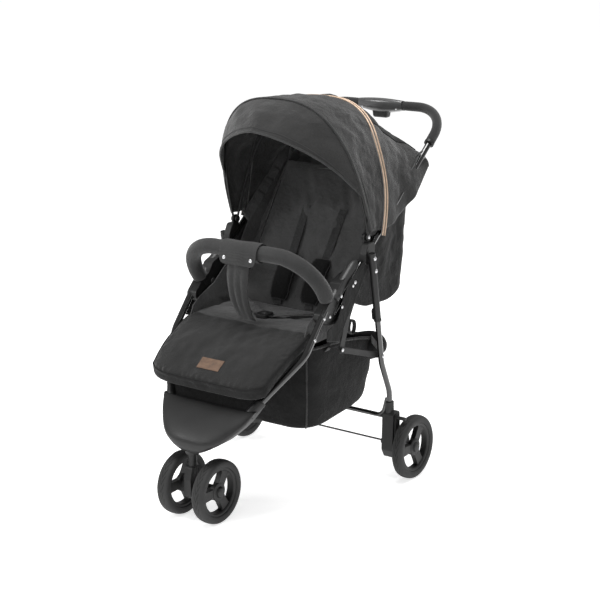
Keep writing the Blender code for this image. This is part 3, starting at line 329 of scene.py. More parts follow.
# lining cloth: its own dark tone raised as painted fill light for the shaded inside of the hood
FILL_LIT_LINING = woven("lining_with_painted_fill", grey(0.055), grey(0.220), 0.0013, 0.00016, uv=True, fleck=0.4)
BAG_CLOTH = woven("basket_polyester", grey(0.003), grey(0.014), 0.0017, 0.00022, turn=(0, math.pi / 2, 0),
                  fleck=0.35, sheen=0.08)
SKIRT_CLOTH = woven("skirt_polyester", grey(0.003), grey(0.015), 0.0014, 0.00018, uv=True, fleck=0.4,
                    sheen=0.1)
WEBBING = woven("strap_webbing", grey(0.018), grey(0.066), 0.0022, 0.00035, fleck=0.3)
BINDING = woven("edge_binding", grey(0.018), grey(0.058), 0.0014, 0.00025, fleck=0.3)
THREAD = moulded("sewing_thread", grey(0.035), 0.8)
PLATE_PAINT = moulded("bar_powder_coat", grey(0.004), 0.55)
DARK_THREAD = moulded("dark_thread", grey(0.0015), 0.95)
ENAMEL = enamel("black_enamel")
PLASTIC = moulded("moulded_plastic", grey(0.004), 0.52)
PLASTIC_SATIN = moulded("satin_plastic", grey(0.004), 0.46)
CONSOLE = moulded("console_plastic", grey(0.050), 0.32, coat=0.5)
BUTTON = moulded("button_plastic", grey(0.022), 0.42)
FOAM = foamed("grip_foam", grey(0.012), 900.0, 0.00022)
BAR_FOAM = woven("bumper_cloth", grey(0.011), grey(0.044), 0.0012, 0.00020, fleck=0.5, crease=3.0)
TYRE = rubber("tyre_foam")
STEEL = bright("zinc_steel", (0.66, 0.66, 0.67), 0.26)
COPPER = bright("rose_gold_braid", (0.62, 0.46, 0.34), 0.42, 0.45)
LEATHER = hide("label_leather")


def point(s, p):
    """The point p on the left side, or mirrored to the right for s = -1."""
    return Vector((s * p[0], p[1], p[2]))


def along_handle(distance, drop=0.0):
    """Side-view place on the handle tube, distance up from its low end and drop below its axis."""
    y = HANDLE_LOW[0] + math.cos(SLOPE) * distance + math.sin(SLOPE) * drop
    z = HANDLE_LOW[1] + math.sin(SLOPE) * distance - math.cos(SLOPE) * drop
    return (y, z)


def handle_height(y):
    """Height of the handle tube's axis at y."""
    return HANDLE_LOW[1] + (y - HANDLE_LOW[0]) * math.tan(SLOPE)


END_Y, END_Z = along_handle(HANDLE_LEN)


def swing(start, end, share):
    """Turns start towards end, two vectors of one length, by a share of the angle between them."""
    return start.normalized().slerp(end.normalized(), share) * start.length


def rounded(points, radii, steps=8):
    """Polyline whose inner corners become arcs of the given radii."""
    points = [Vector(p) for p in points]
    out = [points[0]]
    for before, corner, after, radius in zip(points, points[1:], points[2:], radii):
        a = (before - corner).normalized()
        b = (after - corner).normalized()
        half = a.angle(b) / 2
        reach = radius / math.tan(half)
        centre = corner + (a + b).normalized() * (radius / math.sin(half))
        start = corner + a * reach - centre
        end = corner + b * reach - centre
        for k in range(steps + 1):
            out.append(centre + swing(start, end, k / steps))
    out.append(points[-1])
    return out


def soften(outline, radius, steps=4):
    """Closed 2-D outline with arcs at its corners."""
    count = len(outline)
    out = []
    for i in range(count):
        p = Vector(outline[i]).to_3d()
        a = Vector(outline[i - 1]).to_3d() - p
        b = Vector(outline[(i + 1) % count]).to_3d() - p
        turn = a.angle(b)
        if turn > 3.05:
            out.append((p.x, p.y))
            continue
        reach = min(radius / math.tan(turn / 2), a.length * 0.45, b.length * 0.45)
        r = reach * math.tan(turn / 2)
        centre = p + (a.normalized() + b.normalized()).normalized() * (r / math.sin(turn / 2))
        start = p + a.normalized() * reach - centre
        end = p + b.normalized() * reach - centre
        for k in range(steps + 1):
            q = centre + swing(start, end, k / steps)
            out.append((q.x, q.y))
    return out


def finish_piece(name, bm, look, body, replaced=None, bevel=0.0, smooth=0, wall=0.0,
                 offset=-1.0, sharp=38.0, segments=2, centred=False):
    """Make the mesh a piece that rides on a body, with its modifiers and material."""
    mesh = bpy.data.meshes.new(name)
    bm.to_mesh(mesh)
    bm.free()
    if not centred:
        mesh.transform(Matrix.Translation((0.0, -MIDDLE_Y, 0.0)))
    mesh.polygons.foreach_set("use_smooth", [True] * len(mesh.polygons))
    mesh.set_sharp_from_angle(angle=math.radians(sharp))
    made = bpy.data.objects.new(name, mesh)
    bpy.context.scene.collection.objects.link(made)
    mesh.materials.append(look)
    if smooth:
        step = made.modifiers.new("smooth", "SUBSURF")
        step.levels = smooth
        step.render_levels = smooth
    if wall:
        step = made.modifiers.new("wall", "SOLIDIFY")
        step.thickness = wall
        step.offset = offset
    if bevel:
        step = made.modifiers.new("edge", "BEVEL")
        step.width = bevel
        step.segments = segments
        step.limit_method = "ANGLE"
        step.angle_limit = math.radians(35)
        step.harden_normals = True
    if body:
        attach(made, body)
    if replaced:
        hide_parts(replaced)
    return made


def merge(*meshes):
    """One bmesh out of several, which are freed."""
    whole = bmesh.new()
    for part in meshes:
        mesh = bpy.data.meshes.new("part")
        part.to_mesh(mesh)
        part.free()
        whole.from_mesh(mesh)
        bpy.data.meshes.remove(mesh)
    return whole


def tube_bm(points, radius, sides=20, closed=False, taper=None):
    """Round tube along points; taper gives a radius factor for each point."""
    curve = bpy.data.curves.new("line", "CURVE")
    curve.dimensions = "3D"
    curve.bevel_depth = radius
    curve.bevel_resolution = max(0, (sides - 4) // 2)
    curve.use_fill_caps = not closed
    line = curve.splines.new("POLY")
    line.points.add(len(points) - 1)
    for k, p in enumerate(points):
        line.points[k].co = (*p, 1.0)
        line.points[k].radius = taper[k] if taper else 1.0
    line.use_cyclic_u = closed
    holder = bpy.data.objects.new("line", curve)
    bpy.context.scene.collection.objects.link(holder)
    mesh = bpy.data.meshes.new_from_object(holder)
    bm = bmesh.new()
    bm.from_mesh(mesh)
    bpy.data.objects.remove(holder)
    bpy.data.curves.remove(curve)
    bpy.data.meshes.remove(mesh)
    bmesh.ops.remove_doubles(bm, verts=bm.verts, dist=1e-6)
    return bm


def plate_bm(outline, low, high):
    """Flat outline in the side view (y, z), given a width from low to high along x."""
    bm = bmesh.new()
    bm.faces.new([bm.verts.new((low, y, z)) for y, z in outline])
    made = bmesh.ops.extrude_face_region(bm, geom=bm.faces[:])
    bmesh.ops.translate(bm, verts=[v for v in made["geom"] if isinstance(v, bmesh.types.BMVert)],
                        vec=(high - low, 0, 0))
    bmesh.ops.recalc_face_normals(bm, faces=bm.faces)
    return bm


def turned_bm(profile, at, s=1.0, steps=48, closed=False):
    """Profile of (radius, x) pairs spun about an axis along x through at."""
    bm = bmesh.new()
    row = [bm.verts.new((s * x, 0.0, r)) for r, x in profile]
    edges = [bm.edges.new((a, b)) for a, b in zip(row, row[1:])]
    if closed:
        edges.append(bm.edges.new((row[-1], row[0])))
    bmesh.ops.spin(bm, geom=row + edges, axis=(1, 0, 0), cent=(0, 0, 0), dvec=(0, 0, 0),
                   angle=math.tau, steps=steps, use_merge=True)
    bmesh.ops.remove_doubles(bm, verts=bm.verts, dist=1e-6)
    bmesh.ops.recalc_face_normals(bm, faces=bm.faces)
    bmesh.ops.translate(bm, verts=bm.verts, vec=at)
    return bm


def rivet_bm(at, direction, radius=0.0052, rise=0.0026):
    """Domed rivet head standing on the point at."""
    profile = [(0.0, rise), (radius * 0.45, rise * 0.92), (radius * 0.8, rise * 0.62), (radius, rise * 0.18),
               (radius, -0.0006), (0.0, -0.0006)]
    bm = turned_bm(profile, (0, 0, 0), steps=20)
    turn = Vector((1, 0, 0)).rotation_difference(Vector(direction)).to_matrix().to_4x4()
    bmesh.ops.transform(bm, matrix=Matrix.Translation(at) @ turn, verts=bm.verts)
    return bm


def grid_bm(place, across, along, width=1.0, length=1.0):
    """Grid bent by place(u, v), u and v from 0 to 1, with its cut map in metres."""
    bm = bmesh.new()
    cut = bm.loops.layers.uv.new("cut")
    bmesh.ops.create_grid(bm, x_segments=across, y_segments=along, size=1.0)
    for face in bm.faces:
        for loop in face.loops:
            u, v = loop.vert.co.x, loop.vert.co.y
            loop[cut].uv = ((u + 1) / 2 * width, (v + 1) / 2 * length)
    for vert in bm.verts:
        vert.co = place((vert.co.x + 1) / 2, (vert.co.y + 1) / 2)
    return bm


def ruffle(p, scale, depth, seed=0.0):
    """Slow seeded displacement, in metres."""
    return depth * noise.noise(Vector((p[0] * scale + seed, p[1] * scale - seed, p[2] * scale + 2 * seed)))


def leaf_bm(place, across, along, width, length, thick):
    """Bent grid with a real thickness, closed all round."""
    bm = grid_bm(place, across, along, width, length)
    bmesh.ops.recalc_face_normals(bm, faces=bm.faces)
    bmesh.ops.solidify(bm, geom=bm.faces[:], thickness=thick)
    return bm


def close_bm(bm, reach=1e-5):
    """Close a wrapped grid: join its seam, fill its ends and turn its faces outwards."""
    bmesh.ops.remove_doubles(bm, verts=bm.verts, dist=reach)
    bmesh.ops.holes_fill(bm, edges=[e for e in bm.edges if e.is_boundary])
    bmesh.ops.recalc_face_normals(bm, faces=bm.faces)


def block_bm(place, counts):
    """Block of given divisions bent by place(u, v, w), each from -1 to 1."""
    bm = bmesh.new()
    bmesh.ops.create_cube(bm, size=2.0)
    for axis, count in enumerate(counts):
        edges = [e for e in bm.edges if abs(e.verts[0].co[axis] - e.verts[1].co[axis]) > 1.9]
        if count > 1:
            bmesh.ops.subdivide_edges(bm, edges=edges, cuts=count - 1, use_grid_fill=True)
    for vert in bm.verts:
        vert.co = place(*vert.co)
    return bm


def tube_along(a, b, radius, sides=20):
    """Straight tube from a to b."""
    return tube_bm([Vector(a), Vector(b)], radius, sides)


def slot_outline(a, b, radius, steps=10):
    """Outline of a flat bar with round ends, from a to b in the side view."""
    angle = math.atan2(b[1] - a[1], b[0] - a[0])
    out = []
    for centre, start in ((a, angle + math.pi / 2), (b, angle - math.pi / 2)):
        for k in range(steps + 1):
            turn = start + math.pi * k / steps
            out.append((centre[0] + radius * math.cos(turn), centre[1] + radius * math.sin(turn)))
    return out


def between(a, b, share):
    """Point at a share of the way from a to b, or past them if it is outside 0 to 1."""
    return tuple(p + (q - p) * share for p, q in zip(a, b))


def width_of(s, inner, outer):
    """Lower and higher x of a plate that lies from inner to outer on one side."""
    return sorted((s * inner, s * outer))


def socket_point(s, distance):
    """Point on the bumper socket's axis, positive out of the socket."""
    x, y, z = BUMPER_END
    return Vector((s * x, y - math.cos(BUMPER_TILT) * distance, z + math.sin(BUMPER_TILT) * distance))


# handle tube and the sides of the frame
handle_path = rounded([(HANDLE_X, *HANDLE_LOW), (HANDLE_X, END_Y, END_Z), (-HANDLE_X, END_Y, END_Z),
                       (-HANDLE_X, *HANDLE_LOW)], [0.100, 0.100], 14)
finish_piece("handle_tube_enamel", tube_bm(handle_path, HANDLE_R, 28), ENAMEL, "main_frame", "handle_tube")

FRONT_REACH = math.dist(FRONT_COLLAR, FRONT_BEND)
FRONT_END = between(FRONT_BEND, FRONT_COLLAR, 1 + 0.030 / FRONT_REACH)
COLLAR_END = between(FRONT_BEND, FRONT_COLLAR, 1 + 0.052 / FRONT_REACH)
LEG_TOP = between(LEG_PIVOT, LEG_JOG, -0.046)
SLEEVE_END = between(LEG_PIVOT, LEG_JOG, 0.591)

BRACKET_OUTLINE = [
    (0.236, 0.200), (0.270, 0.200), (0.272, 0.152), (0.316, 0.128), (0.326, 0.092), (0.316, 0.066),
    (0.288, 0.056), (0.248, 0.064), (0.234, 0.088),
]
BRACKET_RIB = [
    (0.246, 0.192), (0.262, 0.192), (0.264, 0.148), (0.300, 0.120), (0.306, 0.098), (0.256, 0.100),
]
HUB_OUTLINE = [
    (-0.041, 0.529), (-0.0173, 0.5529), (0.0179, 0.5758), (0.034, 0.600), (0.074, 0.616), (0.101, 0.619),
    (0.115, 0.600), (0.108, 0.578), (0.070, 0.548), (0.036, 0.512), (0.012, 0.497), (-0.020, 0.499),
    (-0.041, 0.511),
]
CLIP_OUTLINE = [
    (0.132, 0.632), (0.155, 0.628), (0.178, 0.650), (0.182, 0.688), (0.150, 0.688), (0.136, 0.660),
]
LUG_OUTLINE = [(0.148, 0.662), (0.178, 0.662), (0.178, 0.712), (0.152, 0.712)]
FORK_OUTLINE = [
    (-0.314, 0.152), (-0.322, 0.118), (-0.322, 0.072), (-0.300, 0.058), (-0.266, 0.062), (-0.254, 0.085),
    (-0.262, 0.104), (-0.278, 0.118), (-0.284, 0.152),
]
FLAP_FACE = 0.2385
FLAP_RIVETS = [(0.0270, 0.5689), (0.0306, 0.5395), (0.0809, 0.5862)]


def front_tube(s, letter):
    """Front tube, with the rivets on it and on the seat flap beside it."""
    front = rounded([point(s, FRONT_TOP), point(s, FRONT_BEND), point(s, FRONT_END)], [0.10], 14)
    finish_piece("front_tube_enamel_" + letter, tube_bm(front, FRONT_R, 24), ENAMEL, "main_frame",
                 "front_tube_" + letter)
    heads = []
    for share in (0.16, 0.62):
        spot = Vector(between(point(s, FRONT_TOP), point(s, FRONT_BEND), share))
        heads.append(rivet_bm(spot + Vector((s * FRONT_R, 0, 0)), (s, 0, 0), 0.0042, 0.0020))
    for spot in FLAP_RIVETS:
        heads.append(rivet_bm((s * FLAP_FACE, *spot), (s, 0, 0), 0.0045, 0.0014))
    heads.append(rivet_bm((s * 0.2286, -0.010, 0.520), (s, 0, 0), 0.0045, 0.0018))
    finish_piece("frame_rivets_" + letter, merge(*heads), STEEL, "main_frame")


def rear_leg(s, letter):
    """Rear leg, the sleeve round its upper part, and their rivets."""
    leg = rounded([(s * LEG_X, *spot) for spot in (LEG_TOP, LEG_JOG, LEG_HEEL, LEG_FOOT)], [0.09, 0.07], 12)
    finish_piece("rear_leg_enamel_" + letter, tube_bm(leg, LEG_R, 24), ENAMEL, "rear_frame",
                 "rear_leg_" + letter)
    top = Vector((s * LEG_X, *LEG_TOP))
    end = Vector((s * LEG_X, *SLEEVE_END))
    lug = slot_outline(between(LEG_PIVOT, LEG_JOG, 0.50), between(LEG_PIVOT, LEG_JOG, 0.56), 0.0075)
    sleeve = [tube_bm([top, end], LEG_R + 0.0017, 24),
              tube_bm([end - (end - top) * 0.03, end], LEG_R + 0.0026, 24),
              plate_bm(lug, *width_of(s, LEG_X - 0.013, LEG_X - 0.004))]
    finish_piece("leg_sleeve_" + letter, merge(*sleeve), PLASTIC, "rear_frame", bevel=0.0006)
    outer = LEG_X + LEG_R + 0.0013
    heads = [rivet_bm((s * outer, *LEG_PIVOT), (s, 0, 0), 0.0056, 0.0030),
             rivet_bm((s * outer, *between(LEG_PIVOT, LEG_JOG, 0.115)), (s, 0, 0), 0.0056, 0.0030),
             rivet_bm((s * (outer - 0.001), *LINK_REAR), (s, 0, 0), 0.0052, 0.0024)]
    finish_piece("leg_rivets_" + letter, merge(*heads), STEEL, "rear_frame")


def wheel_bracket(s, letter):
    """Bracket of a rear wheel, its axle and bolts, and the gusset from the leg to the cross tube."""
    body = plate_bm(soften(BRACKET_OUTLINE, 0.010, 5), *width_of(s, 0.2345, 0.2700))
    collar = tube_along((s * LEG_X, *between(LEG_FOOT, LEG_HEEL, 0.72)),
                        (s * LEG_X, *between(LEG_FOOT, LEG_HEEL, 0.40)), LEG_R + 0.0042, 24)
    boss = tube_along((s * 0.2290, *BRAKE_PIVOT), (s * 0.2350, *BRAKE_PIVOT), 0.0095, 24)
    rib = plate_bm(soften(BRACKET_RIB, 0.006, 4), *width_of(s, 0.2692, 0.2712))
    finish_piece("wheel_bracket_moulding_" + letter, merge(body, collar, boss, rib), PLASTIC, "rear_frame",
                 "wheel_bracket_" + letter, bevel=0.0022)
    centre = REAR_WHEEL[1:3]
    axle = tube_along((s * 0.262, *centre), (s * 0.3000, *centre), 0.0050, 20)
    finish_piece("rear_axle_" + letter, axle, STEEL, "rear_frame", bevel=0.0006)
    bolts = [rivet_bm((s * 0.2712, 0.254, 0.182), (s, 0, 0), 0.0040, 0.0022),
             rivet_bm((s * (LEG_X + 0.001), 0.2375, 0.171), (0, -1, 0), 0.0038, 0.0020)]
    finish_piece("bracket_bolts_" + letter, merge(*bolts), STEEL, "rear_frame")
    gusset = [(s * 0.196, 0.2400, 0.1845), (s * 0.2330, 0.2400, 0.1845), (s * 0.2435, 0.2450, 0.2360)]
    finish_piece("cross_gusset_" + letter, tube_bm(rounded(gusset, [0.026], 10), 0.0058, 16), ENAMEL,
                 "rear_frame")


def fold_bars(s, letter):
    """The two flat bars of the fold linkage and their rivets."""
    link = plate_bm(slot_outline(LINK_FRONT, LINK_REAR, 0.008), *width_of(s, 0.2385, 0.2412))
    finish_piece("link_bar_steel_" + letter, link, PLATE_PAINT, "link_bars", "link_bar_" + letter,
                 bevel=0.0012)
    bar = plate_bm(slot_outline(LINK_FRONT, SEAT_PIVOT, 0.0105), *width_of(s, 0.2343, 0.2378))
    finish_piece("seat_bar_steel_" + letter, bar, PLATE_PAINT, "seat_bars", "seat_bar_" + letter,
                 bevel=0.0008)
    heads = [rivet_bm((s * 0.2382, *SEAT_PIVOT), (s, 0, 0), 0.0055, 0.0020),
             rivet_bm((s * 0.2416, *LINK_FRONT), (s, 0, 0), 0.0052, 0.0020)]
    finish_piece("bar_rivets_" + letter, merge(*heads), STEEL, "seat_bars")


def side_hub(s, letter):
    """Hub with its recessed faces and bumper socket, the arm up to the hood clip, and the release button."""
    hub = plate_bm(soften(HUB_OUTLINE, 0.012, 5), *width_of(s, 0.1975, 0.2285))
    for face in [f for f in hub.faces if abs(f.normal.x) > 0.9]:
        bmesh.ops.inset_region(hub, faces=[face], thickness=0.004, depth=0.0)
        bmesh.ops.inset_region(hub, faces=[face], thickness=0.0008, depth=-0.0010)
    socket = tube_along(socket_point(s, 0.006), socket_point(s, -0.030), 0.0155, 28)
    finish_piece("hub_moulding_" + letter, merge(hub, socket), PLASTIC_SATIN, "main_frame", "hub_" + letter,
                 bevel=0.0020)
    low, high = Vector((s * HUB_ARM_X, 0.016, 0.560)), Vector((s * HUB_ARM_X, 0.1225, 0.6465))
    arm = [low + (high - low) * k / 16 for k in range(17)]
    ring = low + (high - low) * 0.47
    step = (high - low).normalized() * 0.0012
    arm_bm = merge(tube_bm(arm, 0.0150, 28, taper=[1.0] * 14 + [0.93, 0.78, 0.42]),
                   tube_bm([ring - step, ring + step], 0.01545, 28))
    finish_piece("hub_arm_" + letter, arm_bm, BUTTON, "main_frame", bevel=0.0004)
    knob = turned_bm([(0.0, 0.1949), (0.0055, 0.1949), (0.0078, 0.1955), (0.0085, 0.1968), (0.0085, 0.1978),
                      (0.0, 0.1978)], (0, 0.034, 0.548), s)
    finish_piece("bumper_button_cap_" + letter, knob, BUTTON, "bumper_button_" + letter,
                 "bumper_button_" + letter)


def hood_clip(s, letter):
    """Clip on the handle tube that carries the canopy's hinge."""
    clip = plate_bm(soften(CLIP_OUTLINE, 0.010, 5), *width_of(s, 0.2185, 0.2400))
    lug = plate_bm(soften(LUG_OUTLINE, 0.010, 5), *width_of(s, 0.2178, 0.2234))
    finish_piece("hood_clip_moulding_" + letter, merge(clip, lug), PLASTIC, "main_frame",
                 "hood_clip_" + letter, bevel=0.0018)


for s, letter in SIDES:
    front_tube(s, letter)
    rear_leg(s, letter)
    wheel_bracket(s, letter)
    fold_bars(s, letter)
    side_hub(s, letter)
    hood_clip(s, letter)

finish_piece("cross_tube_enamel", tube_along((-0.2342, *CROSS_TUBE), (0.2342, *CROSS_TUBE), 0.0065), ENAMEL,
             "rear_frame", "cross_tube")
finish_piece("brake_wire", tube_along((-0.2728, *BRAKE_PIVOT), (0.2728, *BRAKE_PIVOT), 0.0025, 16), ENAMEL,
             "brake", "brake_rod")
for s, letter in SIDES:
    lever = plate_bm(slot_outline(BRAKE_PIVOT, (0.250, 0.1840), 0.008), *width_of(s, 0.2710, 0.2750))
    bar = [Vector((s * x, 0.250, 0.1840)) for x in (0.272, 0.280, 0.290, 0.3000, 0.3025)]
    foot = tube_bm(bar, 0.0052, 20, taper=[1.0, 1.0, 1.0, 1.0, 0.75])
    finish_piece("brake_pedal_lever_" + letter, merge(lever, foot), PLASTIC, "brake", "brake_pedal_" + letter,
                 bevel=0.0008)


# radius of the rim as a share of the tyre's
RIM_SHARE = 0.76


def foam_tyre(name, body, s, size):
    """Foam tyre, with a cut map that runs round it and across it for the tread."""
    x, y, radius, width = size
    half = width / 2
    seat = radius * RIM_SHARE
    section = [(seat + 0.0004, half * 0.84), (seat + 0.002, half * 0.92), (radius * 0.84, half * 0.99),
               (radius * 0.90, half * 1.0), (radius * 0.945, half * 0.93), (radius * 0.975, half * 0.78),
               (radius * 0.992, half * 0.52), (radius, half * 0.22)]
    section += [(r, -h) for r, h in reversed(section)]
    tyre = turned_bm([(r, x + h) for r, h in section], (0, y, radius), s, 96, closed=True)
    cut = tyre.loops.layers.uv.new("cut")
    for face in tyre.faces:
        angles = [math.atan2(l.vert.co.z - radius, l.vert.co.y - y) / math.tau + 0.5 for l in face.loops]
        wrap = max(angles) - min(angles) > 0.5
        for loop, turn in zip(face.loops, angles):
            around = turn + 1.0 if wrap and turn < 0.5 else turn
            loop[cut].uv = (around, (loop.vert.co.x * s - x) / width + 0.5)
    finish_piece("tyre_foam_" + name, tyre, TYRE, body, "tyre_" + name, sharp=60)


def spoked_rim(name, body, s, size):
    """Rim with its hub and three broad spokes."""
    x, y, radius, width = size
    half = width / 2
    seat = radius * RIM_SHARE
    rim = [turned_bm([(seat, half * 0.74), (seat - 0.0050, half * 0.70), (seat - 0.0080, half * 0.54),
                      (seat - 0.0080, -half * 0.54), (seat - 0.0050, -half * 0.70), (seat, -half * 0.74)],
                     (0, 0, 0), 1, 96, closed=True)]
    rim.append(turned_bm([(0.0, half * 1.02), (0.009, half * 1.00), (0.0130, half * 0.90),
                          (0.0150, half * 0.60), (0.0235, half * 0.50), (0.0245, half * 0.44),
                          (0.0245, -half * 0.20), (0.0150, -half * 0.50), (0.0135, -half * 0.74),
                          (0.0, -half * 0.78)], (0, 0, 0), 1, 48))
    for k in range(3):
        turn = Matrix.Rotation(math.tau * k / 3 + math.radians(60.0), 4, "X")
        spoke = plate_bm([(0.010, -0.0135), (0.030, -0.0125), (seat - 0.014, -0.0135),
                          (seat - 0.004, -0.0190), (seat - 0.004, 0.0190), (seat - 0.014, 0.0135),
                          (0.030, 0.0125), (0.010, 0.0135)], -half * 0.46, half * 0.46)
        bmesh.ops.transform(spoke, matrix=turn, verts=spoke.verts)
        rim.append(spoke)
    whole = merge(*rim)
    bmesh.ops.translate(whole, verts=whole.verts, vec=(s * x, y, radius))
    finish_piece("rim_moulding_" + name, whole, PLASTIC, body, "rim_" + name, bevel=0.0009)


for s, letter in SIDES:
    for prefix, size in (("rear", REAR_WHEEL), ("front", FRONT_WHEEL)):
        name = prefix + "_" + letter
        body = prefix + "_wheel_" + letter
        foam_tyre(name, body, s, size)
        spoked_rim(name, body, s, size)

# caster fork and the axle of the front wheels
fork = plate_bm(soften(FORK_OUTLINE, 0.010, 5), -0.0115, 0.0115)
for face in [f for f in fork.faces if abs(f.normal.x) > 0.9]:
    bmesh.ops.inset_region(fork, faces=[face], thickness=0.0050, depth=0.0)
    bmesh.ops.inset_region(fork, faces=[face], thickness=0.0010, depth=-0.0020)
FRONT_AXLE = (0, FRONT_WHEEL[1], FRONT_WHEEL[2])
boss = turned_bm([(0.0, 0.0455), (0.0125, 0.0455), (0.0140, 0.042), (0.0140, -0.042), (0.0125, -0.0455),
                  (0.0, -0.0455)], FRONT_AXLE)
stem = tube_bm([Vector((0, CASTER_Y, z)) for z in (0.128, 0.150, 0.160, 0.170, 0.221)], 0.0108, 28,
               taper=[1.15, 1.1, 1.0, 1.0, 1.0])
finish_piece("caster_fork_moulding", merge(fork, boss, stem), PLASTIC, "caster", "caster_fork",
             bevel=0.0028, segments=3)
axle = turned_bm([(0.0, 0.0699), (0.0042, 0.0699), (0.0050, 0.0692), (0.0050, -0.0692), (0.0042, -0.0699),
                  (0.0, -0.0699)], FRONT_AXLE, steps=24)
finish_piece("front_axle_steel", axle, STEEL, "caster", "front_axle")

# rows of the nose from the bottom up: height, half width, then y of its front, side edge and back
NOSE_ROWS = [
    (0.191, 0.026, -0.314, -0.300, -0.278), (0.198, 0.044, -0.320, -0.300, -0.270),
    (0.209, 0.065, -0.3225, -0.297, -0.262), (0.226, 0.092, -0.3195, -0.286, -0.250),
    (0.247, 0.115, -0.304, -0.268, -0.236), (0.274, 0.137, -0.277, -0.247, -0.214),
    (0.304, 0.152, -0.240, -0.230, -0.192),
]


def spread(rows, t):
    """Smooth value at t, from 0 to 1, through evenly spaced rows."""
    place = t * (len(rows) - 1)
    k = min(int(place), len(rows) - 2)
    f = place - k
    before, a, b, after = rows[max(k - 1, 0)], rows[k], rows[k + 1], rows[min(k + 2, len(rows) - 1)]
    out = []
    for p, q, r, n in zip(before, a, b, after):
        out.append(q + 0.5 * f * (r - p + f * (2 * p - 5 * q + 4 * r - n + f * (3 * (q - r) + n - p))))
    return out


def nose_ring(a, z, half, front, edge, back, inset=0.0):
    """Shield outline at one height, a from 0 to 1 round it."""
    half, front, back = half - inset, front + inset, back - inset
    if a <= 0.72:
        u = -math.cos(math.pi * a / 0.72)
        bulge = max(0.0, 1 - abs(u) ** 3.0) ** (1 / 3.0)
        return Vector((half * u, edge - (edge - front) * bulge, z))
    if a <= 0.78:
        f = (a - 0.72) / 0.06
        return Vector((half * (1 - 0.03 * f), edge + (back - edge) * f, z))
    if a <= 0.94:
        f = (a - 0.78) / 0.16
        return Vector((half * 0.97 * (1 - 2 * f), back, z))
    f = (a - 0.94) / 0.06
    return Vector((-half * (0.97 + 0.03 * f), back + (edge - back) * f, z))


def nose_place(u, v):
    """Outer skin up to the rim, over it, and down inside to the floor of the tray."""
    if v < 0.62:
        return nose_ring(u, *spread(NOSE_ROWS, v / 0.62))
    f = (v - 0.62) / 0.38
    inset = min(0.0036, f * 0.030)
    row = spread(NOSE_ROWS, 1 - max(0.0, f - 0.10) / 0.90 * 0.55)
    row[0] += 0.0010 * math.sin(math.pi * min(1.0, f / 0.12)) if f < 0.12 else 0.0
    return nose_ring(u, *row, inset)


nose = grid_bm(nose_place, 100, 60)
close_bm(nose)
housing = [Vector((0, CASTER_Y, z)) for z in (0.184, 0.188, 0.215)]
parts = [nose, tube_bm(housing, 0.0190, 32, taper=[0.93, 1.0, 0.8])]
for s, letter in SIDES:
    a, b = point(s, FRONT_COLLAR), point(s, COLLAR_END)
    line = [a + (b - a) * k / 12 for k in range(13)]
    parts.append(tube_bm(line, 0.0142, 28, taper=[0.92, 1.0] + [1.0] * 8 + [0.96, 0.86, 0.6]))
    ring = a + (b - a) * 0.14
    step = (b - a).normalized() * 0.002
    parts.append(tube_bm([ring - step, ring + step], 0.0150, 28))


def is_top_corner(edge):
    """Whether an edge is one of the two upper corners of the shade screen, seen from the front."""
    a, b = edge.verts[0].co, edge.verts[1].co
    return abs(a.y - b.y) < 0.01 and abs(a.x - b.x) < 0.01 and abs(a.x) > 0.1 and a.z > 0.3 and b.z > 0.3


# dark cloth sheet across the gap between the nose and the leg rest: it stands for the cloth hanging there,
# and its darkness is painted shade of that recess
screen = plate_bm([(-0.2330, 0.286), (-0.2300, 0.286), (-0.1900, 0.356), (-0.1930, 0.356)], -0.1440, 0.1440)
bmesh.ops.bevel(screen, geom=[e for e in screen.edges if is_top_corner(e)], offset=0.020,
                offset_type="OFFSET", segments=4, profile=0.5, affect="EDGES", material=-1)
finish_piece("nose_shade_screen", screen, BAG_CLOTH, "main_frame", bevel=0.0008)
finish_piece("nose_moulding", merge(*parts), PLASTIC_SATIN, "main_frame", "nose_shell", sharp=45)


# handle: foam grips, console and fold trigger
for s, letter in SIDES:
    bend = [p for p in handle_path if s * p.x > 0 and p.z > along_handle(GRIP_START)[1]]
    if s < 0:
        bend.reverse()
    line = [point(s, (HANDLE_X, *along_handle(GRIP_START)))]
    line += [line[0] + (bend[0] - line[0]) * k / 6 for k in range(1, 6)] + bend
    line += [Vector((s * x, END_Y, END_Z)) for x in (0.110, 0.095, 0.0745)]
    shape = [0.90, 0.98] + [1.0] * (len(line) - 4) + [1.0, 0.97]
    line[1] = line[0] + (line[2] - line[0]) * 0.12
    grip = tube_bm(line, GRIP_R, 32, taper=shape)
    finish_piece("grip_foam_" + letter, grip, FOAM, "main_frame", "grip_" + letter, sharp=50)
    lower = point(s, (HANDLE_X, *along_handle(GRIP_START - 0.0045)))
    upper = point(s, (HANDLE_X, *along_handle(GRIP_START + 0.0040)))
    finish_piece("grip_ring_" + letter, tube_bm([lower, upper], GRIP_R + 0.0007, 32), PLASTIC, "main_frame",
                 bevel=0.0012)


def console_place(u, v):
    """Lozenge section round the bar, flattened on top, thinner towards both ends."""
    x = -CONSOLE_HALF + 2 * CONSOLE_HALF * v
    across = abs(x) / CONSOLE_HALF
    a = math.tau * u
    c, d = math.cos(a), math.sin(a)
    wide = 0.0225 - 0.0075 * across ** 2.2
    up = 0.0180 - 0.0040 * across ** 2
    down = 0.0245 - 0.0105 * across ** 1.6
    y = END_Y + wide * math.copysign(abs(c) ** 0.72, c)
    z = END_Z + (up if d > 0 else down) * math.copysign(abs(d) ** 0.66, d)
    tilt = (y - END_Y) * -0.166
    return Vector((x, y, z + tilt))


def console_plate(u, v):
    """Crowned plate let into the top of the console."""
    a, b = 2 * u - 1, 2 * v - 1
    x = b * 0.052 * (1 - 0.12 * abs(a) ** 3)
    return Vector((x, END_Y + a * 0.0125, END_Z + 0.0181 - a * 0.0022 - 0.0022 * b ** 2 - 0.0014 * a ** 2))


